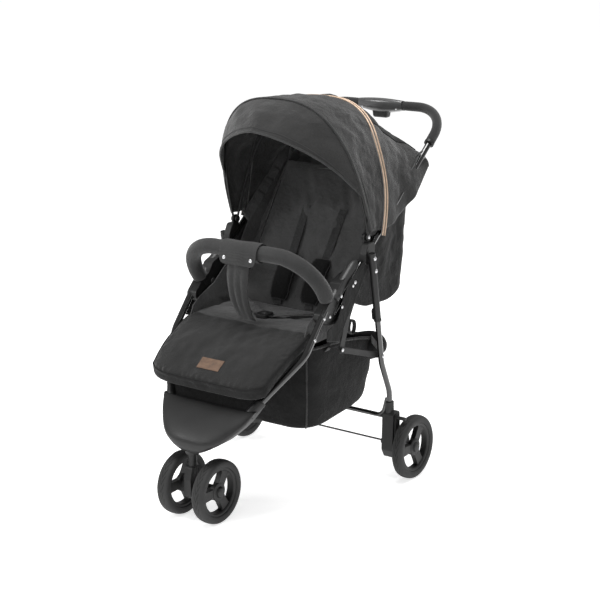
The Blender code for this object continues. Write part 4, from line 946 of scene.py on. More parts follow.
console = grid_bm(console_place, 48, 28)
close_bm(console, 1e-6)
finish_piece("console_moulding", console, CONSOLE, "main_frame", "console", sharp=50)
finish_piece("console_top_plate", grid_bm(console_plate, 12, 20), CONSOLE, "main_frame",
             wall=0.0012, offset=1.0, bevel=0.0004)
screws = [rivet_bm((x, END_Y - 0.0165, END_Z - 0.0090), (0, -0.82, -0.57), 0.0028, 0.0008)
          for x in (-0.058, 0.058)]
finish_piece("console_screws", merge(*screws), STEEL, "main_frame")
low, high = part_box("fold_trigger")
low.z -= 0.0095
middle = (low + high) / 2
trigger = bmesh.new()
bmesh.ops.create_cube(trigger, size=1.0)
bmesh.ops.scale(trigger, vec=high - low + Vector((0.010, 0.004, 0)), verts=trigger.verts)
bmesh.ops.translate(trigger, vec=middle, verts=trigger.verts)
for vert in trigger.verts:
    if vert.co.z < middle.z:
        vert.co.x *= 0.90
        vert.co.y += 0.0015 if vert.co.y < middle.y else -0.0015
finish_piece("fold_trigger_lever", trigger, BUTTON, "fold_trigger", "fold_trigger",
             bevel=0.0062, segments=6, centred=True)


# bumper bar: padded tube, wrap with snaps and crotch strap
path = rounded([socket_point(1.0, 0.0), socket_point(1.0, BUMPER_REACH), socket_point(-1.0, BUMPER_REACH),
                socket_point(-1.0, 0.0)], [0.110, 0.110], 18)
BAR_Y, BAR_Z = path[len(path) // 2].y, path[len(path) // 2].z
first, last = path[0], path[-1]
line = [first, first + (path[1] - first) * 0.10, first + (path[1] - first) * 0.5] + path[1:-1]
line += [last + (path[-2] - last) * 0.5, last + (path[-2] - last) * 0.10, last]
bar = tube_bm(line, BUMPER_R, 36, taper=[0.88, 0.97] + [1.0] * (len(line) - 4) + [0.97, 0.88])
for vert in bar.verts:
    vert.co += vert.normal * ruffle(vert.co, 28.0, 0.0006, 3.0)
pad = finish_piece("bumper_padding", bar, BAR_FOAM, "bumper", "bumper_foam", sharp=50)
cores = [tube_bm([socket_point(s, -0.0275), socket_point(s, 0.006)], 0.0110, 24) for s in (1.0, -1.0)]
cores += [tube_bm([socket_point(s, -0.001), socket_point(s, 0.0035)], 0.0185, 28) for s in (1.0, -1.0)]
finish_piece("bumper_plugs", merge(*cores), PLASTIC, "bumper", "bumper_core", bevel=0.0008)

WRAP_HALF = 0.060
WRAP_START, WRAP_TURN = -150.0, 395.0
WRAP_LEAVES = 0.82


def wrap_place(u, v):
    """Cloth wound round the bar from the rear, over the top and down the front, u along the bar."""
    angle = math.radians(WRAP_START + WRAP_TURN * v)
    radius = 0.0238 + 0.0030 * max(0.0, v - 0.66) / 0.34
    near_end = max(0.0, v - 0.90) / 0.10
    corner = 0.016 * (1 - math.sqrt(max(0.0, 1 - near_end ** 2)))
    x = (2 * u - 1) * WRAP_HALF * (1 - corner / WRAP_HALF)
    spot = Vector((x, BAR_Y + radius * math.cos(angle), BAR_Z + radius * math.sin(angle)))
    if v > WRAP_LEAVES:
        drop = (v - WRAP_LEAVES) / (1 - WRAP_LEAVES)
        edge = math.radians(WRAP_START + WRAP_TURN * WRAP_LEAVES)
        tangent = Vector((0, -math.sin(edge), math.cos(edge)))
        base = Vector((x, BAR_Y + radius * math.cos(edge), BAR_Z + radius * math.sin(edge)))
        spot = base + tangent * 0.036 * drop
    spot += Vector((0, 1, 1)) * ruffle((x * 30, v * 6, 0.0), 1.0, 0.0012, 5.0)
    return spot


wrap = leaf_bm(wrap_place, 40, 72, 2 * WRAP_HALF, 0.17, 0.0022)
finish_piece("bumper_wrap", wrap, BAR_FOAM, "bumper", "bumper_cover", bevel=0.0007, sharp=60)
snaps = []
for x in (-0.044, 0.044):
    spot = wrap_place(x / (2 * WRAP_HALF) + 0.5, 0.915)
    ahead = wrap_place(x / (2 * WRAP_HALF) + 0.5, 0.925)
    side = (ahead - spot).cross(Vector((1, 0, 0))).normalized()
    if side.y > 0:
        side = -side
    snaps.append(rivet_bm(spot + side * 0.0014, side, 0.0058, 0.0022))
hem = [wrap_place(0.03, 0.30 + 0.58 * k / 30) for k in range(31)]
hem += [wrap_place(0.03 + 0.94 * k / 30, 0.972) for k in range(31)]
hem += [wrap_place(0.97, 0.88 - 0.58 * k / 30) for k in range(31)]
hem = [q + Vector((0, q.y - BAR_Y, q.z - BAR_Z)).normalized() * 0.0016 for q in hem]
finish_piece("bumper_wrap_stitching", tube_bm(hem, 0.0007, 6), THREAD, "bumper")
finish_piece("bumper_snaps", merge(*snaps), STEEL, "bumper")

STRAP_LOW = Vector((0.0, -0.060, 0.4915))


def strap_place(u, v):
    """Wide crotch strap, hanging from the bar to the front of the seat."""
    top = Vector((0, BAR_Y - 0.016, BAR_Z - 0.0215))
    p = top.lerp(STRAP_LOW, v)
    belly = 0.024 * math.sin(math.pi * v) ** 0.8
    p += Vector((0, -belly, -belly * 0.25))
    half = 0.036 - 0.011 * v
    x = (2 * u - 1) * half
    crown = 0.0022 * (1 - abs(2 * u - 1) ** 4)
    p += Vector((x, -crown - 0.0016 * math.cos((2 * u - 1) * math.pi * 3) * math.sin(math.pi * v), 0))
    p += Vector((0, ruffle((u * 3, v * 4, 0), 1.0, 0.0022, 9.0), 0))
    return p


strap = leaf_bm(strap_place, 24, 40, 0.060, 0.085, 0.0050)
strap = finish_piece("crotch_strap", strap, BAR_FOAM, None, bevel=0.0012, sharp=60)
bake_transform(strap)


# canopy
def bow(t, lean, width=BOW_W, height=BOW_H):
    """Point on the canopy hoop that leans by lean, t from 0 at the left foot to pi at the right."""
    c, d = math.cos(t), max(0.0, math.sin(t))
    h = height * d ** BOW_P
    return Vector((width * math.copysign(abs(c) ** BOW_P, c), CANOPY_PIVOT[0] + h * math.sin(lean),
                   CANOPY_PIVOT[1] + h * math.cos(lean)))


def hoop_t(u):
    """Even steps round the hoop for u from 0 to 1, from hem to hem."""
    return HEM + (math.pi - 2 * HEM) * u


RIDGE_DROP = 0.010


def near_foot(t):
    """How near t is to a foot of the hoop, from 0 above to 1 at the foot."""
    return max(0.0, 1 - math.sin(min(max(t, 0.0), math.pi)) * 1.45)


def rim_foot(f):
    """How far the rim of the cloth leaves the front hoop at its foot, back and down past the hinge."""
    return Vector((0, 0.016 * f ** 6, -0.022 * f ** 6))


def ridge_foot(f):
    """How far the piping leaves the middle hoop towards its foot, back and down."""
    return Vector((0, 0.052 * f * f * (3 - 2 * f), -0.024 * f ** 5))


def rim_line(t, grow=0.0):
    """Front rim of the canopy cloth, drawn down past the hinge at its feet."""
    return bow(t, FRONT_LEAN, BOW_W + grow, BOW_H + grow) + rim_foot(near_foot(t))


def ridge_line(t, grow=0.0):
    """Line of the copper piping, which leaves the middle hoop backwards towards its feet."""
    return bow(t, MID_LEAN, BOW_W + grow, BOW_H + grow - RIDGE_DROP) + ridge_foot(near_foot(t))


def front_place(u, v):
    """Front cloth of the canopy, v from the front rim to the piping."""
    t = hoop_t(u)
    arch = math.sin(t)
    dip = 0.0085 * math.sin(math.pi * v) * (0.35 + 0.65 * arch)
    lean = FRONT_LEAN + (MID_LEAN - FRONT_LEAN) * v
    f = near_foot(t)
    p = bow(t, lean, BOW_W - dip, BOW_H - dip - RIDGE_DROP * v)
    p += rim_foot(f).lerp(ridge_foot(f), v)
    crease = ruffle(p, 9.0, 0.0085, 1.0) + ruffle(p, 26.0, 0.0056, 2.0) + ruffle(p, 75.0, 0.0016, 3.0)
    pull = ruffle((t * 5.0, v * 2.2, 1.0), 1.6, 1.0, 8.0)
    crease += 0.0034 * math.sin(t * 15.0 + 7.0 * v + 2.5 * pull) * (0.35 + 0.65 * max(0.0, pull * 2))
    out = Vector((p.x, (p.y - CANOPY_PIVOT[0]) * 0.3, p.z - CANOPY_PIVOT[1])).normalized()
    return p + out * crease * math.sin(math.pi * v) ** 1.4


REAR_HEM = (0.452, 0.852)


def rear_edge(t):
    """Rear hem of the canopy: low shoulders with a hump in the middle."""
    c, d = math.cos(t), max(0.0, math.sin(t))
    x = 0.235 * math.copysign(abs(c) ** 0.5, c)
    hump = math.exp(-(abs(x) / 0.062) ** 2.4)
    h = 0.42 * d ** 1.1 * (1 - hump) + hump
    return Vector((x, REAR_HEM[0] + 0.046 * h, REAR_HEM[1] + 0.118 * h))


def rear_place(u, v):
    """Rear cloth of the canopy, v from the piping to the rear hem."""
    t = hoop_t(u)
    a = ridge_line(t)
    b = rear_edge(t)
    low = (1 - min(u, 1 - u) * 2) ** 3
    sag = 0.028 * 4 * v * (1 - v) * low
    p = a.lerp(b, v)
    p.z -= sag
    roof = math.sin(math.pi * min(u, 1 - u))
    p.z += (0.004 * math.sin(v * math.pi * 3) - 0.010 * math.sin(math.pi * v)) * roof
    p.z += 0.021 * math.exp(-((u - 0.5) / 0.17) ** 2) * math.sin(math.pi * v ** 0.65) ** 1.5
    crease = ruffle(p, 8.0, 0.0100, 4.0) + ruffle(p, 24.0, 0.0044, 6.0) + ruffle(p, 70.0, 0.0016, 7.0)
    crease += 0.0046 * math.sin(11.0 * v + t * 5.0 + ruffle(p, 12.0, 3.0, 9.0)) * (1 - 0.6 * roof)
    out = Vector((p.x * 1.2, 0.04, p.z - 0.72)).normalized()
    return p + out * crease * math.sin(math.pi * v) ** 1.2


VISOR_FOOT = math.radians(13.0)


def visor_edge(s):
    """Front edge of the visor, s from 0 at the left to pi at the right."""
    c, d = math.cos(s), math.sin(s)
    f = (1 - max(0.0, d)) ** 0.93
    p = Vector((0.206 * math.copysign(abs(c) ** 1.24, c), -0.042 + 0.160 * f, 0.985 - 0.148 * f))
    end = rim_line(VISOR_FOOT if c > 0 else math.pi - VISOR_FOOT, 0.0016)
    return end.lerp(p, min(1.0, d / 0.34) ** 0.8)


def visor_place(u, v):
    """Visor, v from the front rim of the canopy to its own front edge."""
    t = VISOR_FOOT + (math.pi - 2 * VISOR_FOOT) * u
    a = rim_line(t, -0.0006)
    p = a.lerp(visor_edge(math.pi * u), v)
    crown = 0.013 * math.sin(math.pi * v) * math.sin(math.pi * u) ** 0.5
    crease = ruffle(p, 13.0, 0.0080, 7.0) + ruffle(p, 32.0, 0.0040, 8.0)
    crease += 0.0016 * math.sin(t * 19.0 + 4 * v) * math.sin(math.pi * u)
    way = Vector((p.x * 0.9, -0.30, 0.75)).normalized()
    return p + way * (crown + crease * math.sin(math.pi * v) ** 0.7)


front = finish_piece("canopy_front_cloth", grid_bm(front_place, 160, 44, 0.98, 0.20), CANOPY_CLOTH, None,
                     "canopy_front", wall=0.0014, sharp=80)
rear = finish_piece("canopy_rear_cloth", grid_bm(rear_place, 160, 50, 0.98, 0.26), CANOPY_CLOTH, None,
                    "canopy_rear", wall=0.0014, sharp=80)
visor = finish_piece("visor_cloth", grid_bm(visor_place, 130, 30, 0.80, 0.12), CANOPY_CLOTH, "front_bow",
                     "visor", wall=0.0016, sharp=80)
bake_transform(front)
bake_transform(rear)

for name, lean, inset, drop, foot in (("front_bow", FRONT_LEAN, 0.0077, 0.0125, 0.2270),
                                      ("mid_bow", MID_LEAN, 0.0213, 0.0225, 0.2137)):
    line = [bow(math.pi * k / 60, lean, BOW_W - inset, BOW_H - drop) for k in range(61)]
    hoop = [tube_bm(line, 0.0032, 12)]
    for s, letter in SIDES:
        hoop.append(turned_bm([(0.0, -0.0028), (0.0085, -0.0028), (0.0092, -0.0018), (0.0092, 0.0018),
                               (0.0085, 0.0028), (0.0, 0.0028)], (s * foot, *CANOPY_PIVOT), steps=24))
    finish_piece(name + "_hoop", merge(*hoop), PLASTIC, name, name)
heads = [rivet_bm((s * 0.2303, *CANOPY_PIVOT), (s, 0, 0), 0.0050, 0.0022) for s in (1.0, -1.0)]
finish_piece("hood_rivets", merge(*heads), STEEL, "front_bow")


def line_on(place, grow, count=120):
    """Points along one of the canopy's lines, from hem to hem."""
    return [place(HEM + (math.pi - 2 * HEM) * k / count, grow) for k in range(count + 1)]


def beside(place, grow, offset, start=HEM, count=120):
    """The same line moved sideways over the cloth by offset, in metres, backwards if positive."""
    out = []
    for k in range(count + 1):
        t = start + (math.pi - 2 * start) * k / count
        p = place(t, grow)
        step = place(min(t + 0.01, math.pi), grow) - place(max(t - 0.01, 0.0), grow)
        away = Vector((p.x, (p.y - CANOPY_PIVOT[0]) * 0.4, p.z - CANOPY_PIVOT[1]))
        side = step.cross(away).normalized()
        out.append(p + side * (offset if side.y > 0 else -offset))
    return out


finish_piece("canopy_front_binding", tube_bm(line_on(rim_line, 0.0010), 0.0030, 12), BINDING, "front_bow")
finish_piece("canopy_front_seam", tube_bm(beside(rim_line, 0.0004, 0.016), 0.0012, 8), BINDING, "front_bow")
for letter, offset in (("a", -0.0062), ("b", 0.0062)):
    braid = tube_bm(beside(ridge_line, 0.0036, offset, 0.02), 0.0023, 14)
    finish_piece("copper_piping_" + letter, braid, COPPER, "mid_bow")
TAPE_STEPS = 110
tape_sides = [beside(ridge_line, 0.0009, offset, 0.02, TAPE_STEPS) for offset in (-0.0110, 0.0110)]


def tape_place(u, v):
    """Tape under the piping, from one of its edges to the other."""
    k = round(u * TAPE_STEPS)
    return tape_sides[0][k].lerp(tape_sides[1][k], v)


finish_piece("copper_piping_tape", grid_bm(tape_place, TAPE_STEPS, 4, 0.98, 0.012), FILL_LIT_LINING, "mid_bow",
             wall=0.0010)
edge = [visor_place(k / 100, 1.0) for k in range(101)]
finish_piece("visor_binding", tube_bm(edge, 0.0028, 12), BINDING, "front_bow")
edge = [visor_place(k / 100, 0.90) + Vector((0, -0.0008, 0.0008)) for k in range(101)]
finish_piece("visor_stitch_line", tube_bm(edge, 0.0006, 6), THREAD, "front_bow")

# dark panel on the rear cloth, painted shade of the cloth's far side behind the piping, in shares of its
# width and depth
PANEL_LEFT, PANEL_RIGHT = 0.29, 0.71
PANEL_TOP, PANEL_END = 0.035, 0.995
# share of the shade panel's right edge that its binding runs up
BOUND_EDGE = 0.925 / 0.960


def rear_shade_panel(u, v, rise):
    """Dark sheet on the middle of the rear cloth, from the piping to the hem: painted shade of the cloth's
    far side behind the piping.
    """
    across = PANEL_LEFT + (PANEL_RIGHT - PANEL_LEFT) * u
    return rear_place(across, PANEL_TOP + (PANEL_END - PANEL_TOP) * v) + Vector((0, 0.0012, rise))


# painted shade: a very dark sheet and its binding where the rear cloth lies in shadow behind the piping
flap = grid_bm(lambda u, v: rear_shade_panel(u, v, 0.0016), 66, 50, 0.30, 0.24)
flap = finish_piece("canopy_rear_shade_panel", flap, BAG_CLOTH, None, wall=0.0012, sharp=80)
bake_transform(flap)
shade_panel_edge = [rear_shade_panel(0.0, k / 40, 0.0026) for k in range(41)]
shade_panel_edge += [rear_shade_panel(k / 40, 1.0, 0.0026) for k in range(1, 41)]
shade_panel_edge += [rear_shade_panel(1.0, 1 - BOUND_EDGE * k / 40, 0.0026) for k in range(1, 41)]
flap = finish_piece("canopy_rear_shade_panel_binding", tube_bm(shade_panel_edge, 0.0017, 8), BAG_CLOTH, None)
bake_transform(flap)
hem = [rear_place(k / 120, 1.0) for k in range(121)]
finish_piece("canopy_rear_binding", tube_bm(hem, 0.0022, 10), BINDING, "main_frame")


# seat, backrest, harness
SEAT_HALF = 0.1908
BACK_HALF = 0.184
BACK_DIR = Vector((0, math.cos(BACK_ANGLE), math.sin(BACK_ANGLE)))
BACK_FACE = Vector((0, -math.sin(BACK_ANGLE), math.cos(BACK_ANGLE)))


def channel(value, places, width, depth):
    """Depth of the sewn channels at value, each a narrow valley."""
    return sum(depth * math.exp(-((value - place) / width) ** 2) for place in places)


def seat_place(u, v, w):
    """Crowned seat cushion with one sewn channel across it."""
    x = SEAT_HALF * u
    y = -0.052 + 0.1928 * (v + 1) / 2
    z = 0.469 - 0.006 * (1 - u * u)
    rim = max(abs(u), abs(v))
    full = 1 - 0.35 * max(0.0, rim - 0.86) / 0.14
    top = 0.0172 * full - channel(v, (0.0,), 0.05, 0.0052)
    top += ruffle((x, y, 0), 24.0, 0.0024, 3.0) * (1 - rim ** 6)
    low = -0.0170 * full
    return Vector((x, y, z + (top if w > 0 else low) * abs(w)))


def back_place(u, v, w):
    """Backrest pad with soft folds, a sewn channel low down and pulls by the shoulder straps."""
    v = (v + 1) / 2
    x = BACK_HALF * u * (1 - 0.03 * v)
    rim = max(abs(u), abs(2 * v - 1))
    full = 1 - 0.35 * max(0.0, rim - 0.88) / 0.12
    up = v * BACK_LEN
    folds = ruffle((x, up, 2), 8.0, 0.0100, 5.0) + ruffle((x * 1.4, up, 5), 22.0, 0.0050, 6.0)
    pull = math.exp(-((abs(x) - 0.075) / 0.05) ** 2 - ((v - 0.80) / 0.13) ** 2)
    folds += 0.0024 * pull * math.sin(x * 150.0 + v * 34.0)
    front = 0.0145 * full - channel(v, (0.25,), 0.03, 0.0050) + folds * (1 - rim ** 8)
    rear = -0.0140 * full
    base = BACK_SEAM + BACK_DIR * BACK_LEN * v - BACK_FACE * 0.010 * (1 - u * u)
    return base + BACK_FACE * (front if w > 0 else rear) * abs(w) + Vector((x, 0, 0))


seat = finish_piece("seat_pad", block_bm(seat_place, (40, 26, 4)), FILL_LIT_SEAT_CLOTH, "main_frame", "seat_cushion",
                    smooth=1, sharp=70)
back = finish_piece("backrest_pad", block_bm(back_place, (60, 76, 4)), FILL_LIT_SEAT_CLOTH, "backrest", "backrest",
                    smooth=1, sharp=70)

STRAP_X = 0.052
STRAP_WIDTH = 0.025
STRAP_LIFT = 0.00861


def harness_place(s):
    """Maker of the padded sleeve round one shoulder strap."""
    def place(u, v, w):
        v = (v + 1) / 2
        rim = max(abs(u), abs(2 * v - 1))
        wide = 0.0295 * (1 - 0.22 * max(0.0, abs(2 * v - 1) - 0.80) / 0.20)
        base = BACK_SEAM + BACK_DIR * (0.026 + 0.132 * v) + BACK_FACE * 0.0072
        full = 1 - 0.5 * max(0.0, rim - 0.8) / 0.2
        rise = 0.0080 * full if w > 0 else -0.0040
        bow_out = BACK_FACE * (0.012 * math.sin(math.pi * v) + 0.004 * (1 - u * u))
        return base + bow_out + BACK_FACE * rise * abs(w) + Vector((s * STRAP_X + wide * u, 0, 0))
    return place


for s, letter in SIDES:
    place = harness_place(s)
    strip = finish_piece("harness_cushion_" + letter, block_bm(place, (14, 32, 2)), SKIRT_CLOTH, "backrest",
                         "harness_pad_" + letter, smooth=1, sharp=70)
    border = [(-1, -1 + k / 15) for k in range(31)] + [(-1 + k / 6, 1) for k in range(1, 12)]
    border += [(1, 1 - k / 15) for k in range(31)] + [(1 - k / 6, -1) for k in range(1, 12)]
    edging = tube_bm([place(u, v, 0.75) for u, v in border], 0.0014, 8, closed=True)
    finish_piece("harness_edging_" + letter, edging, BINDING, "backrest")

    def shoulder(u, v, s=s):
        """Shoulder strap, v from its low end up the backrest."""
        reach = max(0.012, -0.020 + 0.330 * v)
        x = s * (STRAP_X + 0.010 * v) + (u - 0.5) * STRAP_WIDTH
        return BACK_SEAM + BACK_DIR * reach + BACK_FACE * STRAP_LIFT + Vector((x, 0, 0))

    web = leaf_bm(shoulder, 4, 40, STRAP_WIDTH, 0.30, 0.0014)
    finish_piece("shoulder_webbing_" + letter, web, WEBBING, "backrest", sharp=60)

    def waist(u, v, s=s):
        """Waist strap, v from the buckle out to the side of the seat."""
        a = Vector((s * 0.021, 0.012, 0.4862))
        b = Vector((s * 0.160, 0.120, 0.4890))
        p = a.lerp(b, v) + Vector((0, 0, 0.0030 * math.sin(math.pi * v)))
        across = Vector((-(b - a).y, (b - a).x, 0)).normalized()
        return p + across * (u - 0.5) * STRAP_WIDTH

    web = leaf_bm(waist, 4, 30, STRAP_WIDTH, 0.18, 0.0014)
    finish_piece("waist_webbing_" + letter, web, WEBBING, "main_frame", sharp=60)

# buckle: rounded shell, two tongues and the release button
buckle_turns = [math.tau * k / 36 for k in range(36)]
buckle_outline = [(0.019 * math.copysign(abs(math.cos(a)) ** 0.5, math.cos(a)),
                   0.010 + 0.022 * math.copysign(abs(math.sin(a)) ** 0.6, math.sin(a))) for a in buckle_turns]
shell = bmesh.new()
shell.faces.new([shell.verts.new((x, y, 0.4799)) for x, y in buckle_outline])
made = bmesh.ops.extrude_face_region(shell, geom=shell.faces[:])
bmesh.ops.translate(shell, verts=[v for v in made["geom"] if isinstance(v, bmesh.types.BMVert)],
                    vec=(0, 0, 0.0120))
bmesh.ops.recalc_face_normals(shell, faces=shell.faces)
tongues = []
for s, letter in SIDES:
    tongue = bmesh.new()
    bmesh.ops.create_cube(tongue, size=1.0)
    bmesh.ops.scale(tongue, vec=(0.014, 0.022, 0.004), verts=tongue.verts)
    bmesh.ops.translate(tongue, vec=(s * 0.0225, 0.013, 0.4862), verts=tongue.verts)
    tongues.append(tongue)
finish_piece("buckle_shell", merge(shell, *tongues), PLASTIC, "main_frame", "buckle",
             bevel=0.0018)
button = turned_bm([(0.0, 0.0024), (0.0055, 0.0023), (0.0078, 0.0016), (0.0088, 0.0004), (0.0088, -0.0003),
                    (0.0, -0.0003)], (0, 0, 0), steps=36)
upright = Matrix.Translation((0, 0.010, 0.4912)) @ Matrix.Rotation(-math.pi / 2, 4, "Y")
bmesh.ops.transform(button, matrix=upright, verts=button.verts)
finish_piece("buckle_button_cap", button, BUTTON, "buckle_button", "buckle_button")

SIDE_OUTLINE = [
    (-0.075, 0.470), (-0.060, 0.500), (-0.030, 0.520), (0.030, 0.545), (0.120, 0.618), (0.165, 0.640),
    (0.172, 0.575), (0.140, 0.500), (0.120, 0.450), (-0.052, 0.446),
]
for s, letter in SIDES:
    side = plate_bm(soften(SIDE_OUTLINE, 0.012, 5), *width_of(s, 0.1897, 0.1929))
    finish_piece("seat_side_cloth_" + letter, side, FILL_LIT_SEAT_CLOTH, "main_frame", "seat_side_" + letter,
                 bevel=0.0010)


# lining between the backrest, the handle tubes and the canopy
def back_edge(s, v):
    """Side edge of the backrest, v from the seam to its top."""
    return BACK_SEAM + BACK_DIR * BACK_LEN * v + Vector((s * BACK_HALF * (1 - 0.03 * v), 0, 0))


def hood_place(u, v):
    """Upper lining: from the backrest top and the handle tubes up to the rear hem of the canopy."""
    across = 1 - 2 * u
    side = math.copysign(1.0, across)
    corner = BACK_SEAM + BACK_DIR * 0.425 + BACK_FACE * 0.006
    share = min(1.0, abs(across) / 0.74)
    low = Vector((side * 0.180 * share, corner.y, corner.z))
    if abs(across) > 0.74:
        y, z = along_handle(0.575, -0.0135)
        low = low.lerp(Vector((side * (HANDLE_X + 0.002), y, z)), (abs(across) - 0.74) / 0.26)
    high = rear_edge(math.pi * (0.03 + 0.94 * u))
    high = Vector((high.x * 0.95, high.y - 0.012, high.z - 0.008))
    p = low.lerp(high, v)
    p.y += 0.030 * math.sin(math.pi * v) * share
    p.z -= 0.012 * math.sin(math.pi * v)
    crease = ruffle(p, 9.0, 0.0240, 41.0) + ruffle(p, 24.0, 0.0100, 42.0)
    return p + Vector((0, -1, 0.3)) * crease * math.sin(math.pi * v) ** 0.5


hood = finish_piece("hood_lining", grid_bm(hood_place, 84, 24, 0.48, 0.12), FILL_LIT_LINING, None,
                    wall=0.0012, sharp=80)
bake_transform(hood)


def wing_place(s):
    """Side of the seat, from the backrest edge out to the handle tube, with deep soft folds."""
    def place(u, v):
        v1 = 0.02 + 0.98 * v
        inner = back_edge(s, v1) + BACK_FACE * 0.010
        run = 0.165 + 0.405 * v1
        over = min(1.0, max(0.0, (v1 - 0.14) / 0.20))
        over *= over * (3 - 2 * over)
        y, z = along_handle(run, 0.012 - 0.029 * over)
        outer = Vector((s * (HANDLE_X - 0.0105 + 0.0145 * over), y, z))
        if v1 < 0.35:
            f = (0.35 - v1) / 0.35
            outer = outer.lerp(Vector((s * 0.1935, 0.020, 0.4900)), f * f)
        p = inner.lerp(outer, u)
        hang = math.sin(math.pi * u)
        p += Vector((0, 0.010, -0.022)) * hang * (0.3 + 0.7 * v1)
        crease = ruffle(p, 10.0, 0.0200, 43.0 + s) + ruffle(p, 28.0, 0.0080, 45.0 + s)
        p += Vector((-s * 0.7, -0.7, 0.2)) * crease * hang ** 0.6
        if p.z < handle_height(p.y) + 0.010:
            p.x = s * min(abs(p.x), 0.2030)
        return p
    return place


for s, letter in SIDES:
    wing = finish_piece("seat_wing_" + letter, grid_bm(wing_place(s), 24, 60, 0.12, 0.46), FILL_LIT_SEAT_CLOTH, None,
                        wall=0.0014, sharp=80)
    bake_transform(wing)

FLAP_OUTLINE = [
    (0.1669, 0.6346), (0.1527, 0.6264), (0.1109, 0.5693), (0.0877, 0.5442), (0.0511, 0.5005),
    (0.0239, 0.4578), (0.0172, 0.4475), (-0.040, 0.4600), (-0.036, 0.4900), (0.0080, 0.5060),
    (0.0230, 0.5335), (0.0330, 0.5600), (0.0600, 0.6000), (0.1000, 0.6250), (0.1350, 0.6480),
]
FLAP_HEM = [
    (0.1480, 0.6200), (0.1085, 0.5672), (0.0853, 0.5420), (0.0487, 0.4985), (0.0215, 0.4560),
    (0.0150, 0.4500), (-0.0380, 0.4625),
]
for s, letter in SIDES:
    flap = plate_bm(soften(FLAP_OUTLINE, 0.006, 3), *width_of(s, 0.2379, 0.2384))
    bmesh.ops.triangulate(flap, faces=[f for f in flap.faces if len(f.verts) > 4])
    finish_piece("seat_flap_" + letter, flap, SKIRT_CLOTH, "main_frame", bevel=0.0002)
    hem = rounded([Vector((s * 0.2383, y, z)) for y, z in FLAP_HEM], [0.05, 0.2, 0.3, 0.05, 0.006], 5)
    finish_piece("seat_flap_hem_" + letter, tube_bm(hem, 0.0007, 8), BINDING, "main_frame")

# skirt behind the backrest
SKIRT_FRONT = 0.146
SKIRT_LINE = rounded([(0.2124, SKIRT_FRONT, 0), (0.2124, 0.392, 0), (0.178, 0.4140, 0), (0.0, 0.418, 0)],
                     [0.060, 0.050], 10)


def measure(points):
    """Running lengths along points."""
    out = [0.0]
    for a, b in zip(points, points[1:]):
        out.append(out[-1] + (b - a).length)
    return out


def at_length(points, lengths, share):
    """Point at a share of the whole length."""
    want = lengths[-1] * min(max(share, 0.0), 1.0)
    for k in range(len(points) - 1):
        if lengths[k + 1] >= want:
            step = lengths[k + 1] - lengths[k]
            return points[k].lerp(points[k + 1], (want - lengths[k]) / step if step > 1e-9 else 0.0)
    return points[-1].copy()


SKIRT_SPAN = measure(SKIRT_LINE)


def skirt_place(u, v):
    """Cloth hung from the handle tubes, u from the left front round to the right, v downwards."""
    s = 1.0 if u < 0.5 else -1.0
    run = min(u, 1 - u) * 2
    p = at_length(SKIRT_LINE, SKIRT_SPAN, run)
    past = min(1.0, max(0.0, (p.y - 0.385) / 0.03))
    top = handle_height(min(p.y, 0.385)) - 0.002 - 0.012 * past
    low = 0.506 + 0.055 * max(0.0, (p.y - 0.30) / 0.117) ** 2 - 0.006 * math.sin(math.pi * run)
    low += 0.020 * max(0.0, 1 - (p.y - SKIRT_FRONT) / 0.070) ** 1.5
    tuck = 0.010 * v
    z = top + (low - top) * v
    q = Vector((s * (p.x - tuck * min(1.0, p.x / 0.1)), p.y - 0.012 * v * v, z))
    crease = ruffle((q.x, q.y, q.z * 0.6), 12.0, 0.0100, 11.0) + ruffle(q, 34.0, 0.0036, 12.0)
    out = Vector((q.x, (q.y - 0.25) * 0.8, 0)).normalized()
    return q + out * crease * math.sin(math.pi * min(1.0, v * 1.05)) ** 0.6


skirt = finish_piece("back_skirt_cloth", grid_bm(skirt_place, 120, 40, 0.90, 0.30), SKIRT_CLOTH, None,
                     "back_skirt", wall=0.0014, sharp=80)
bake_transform(skirt)
skirt_hem = [skirt_place(k / 120, 1.0) for k in range(121)]
hem_piece = finish_piece("back_skirt_binding", tube_bm(skirt_hem, 0.0020, 10), BINDING, None)
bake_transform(hem_piece)


def loop_place(s):
    """Maker of the small webbing loop that hangs beside the seat."""
    def place(u, v):
        a = math.tau * v + math.radians(30.0)
        x = s * 0.2140 + (u - 0.5) * 0.012
        return Vector((x, 0.1103 + 0.013 * math.cos(a), 0.4654 + 0.019 * math.sin(a)))
    return place


for s, letter in SIDES:
    ring = leaf_bm(loop_place(s), 3, 40, 0.012, 0.10, 0.0014)
    finish_piece("seat_loop_" + letter, ring, WEBBING, "main_frame", sharp=60)

# rings of the basket from floor to rim: front, rear, half width, height, and its rise and dip to the rear
RINGS = [(-0.030, 0.245, 0.170, 0.207, 0.027, 0.0), (-0.044, 0.257, 0.186, 0.212, 0.027, 0.0),
         (-0.050, 0.270, 0.192, 0.280, 0.020, 0.0), (-0.052, 0.288, 0.192, 0.350, 0.010, 0.0),
         (-0.052, 0.300, 0.190, 0.424, 0.036, -0.078)]


def basket_ring(rows, t, a):
    """Point at angle a on the ring at height t, a superellipse in plan."""
    front, rear, half, base, lift, dip = spread(rows, t)
    c, d = math.cos(a), math.sin(a)
    x = half * math.copysign(abs(c) ** 0.36, c)
    middle, reach = (front + rear) / 2, (rear - front) / 2
    y = middle + reach * math.copysign(abs(d) ** 0.36, d)
    f = (y - front) / (rear - front)
    return Vector((x, y, base + lift * f + dip * f * f))


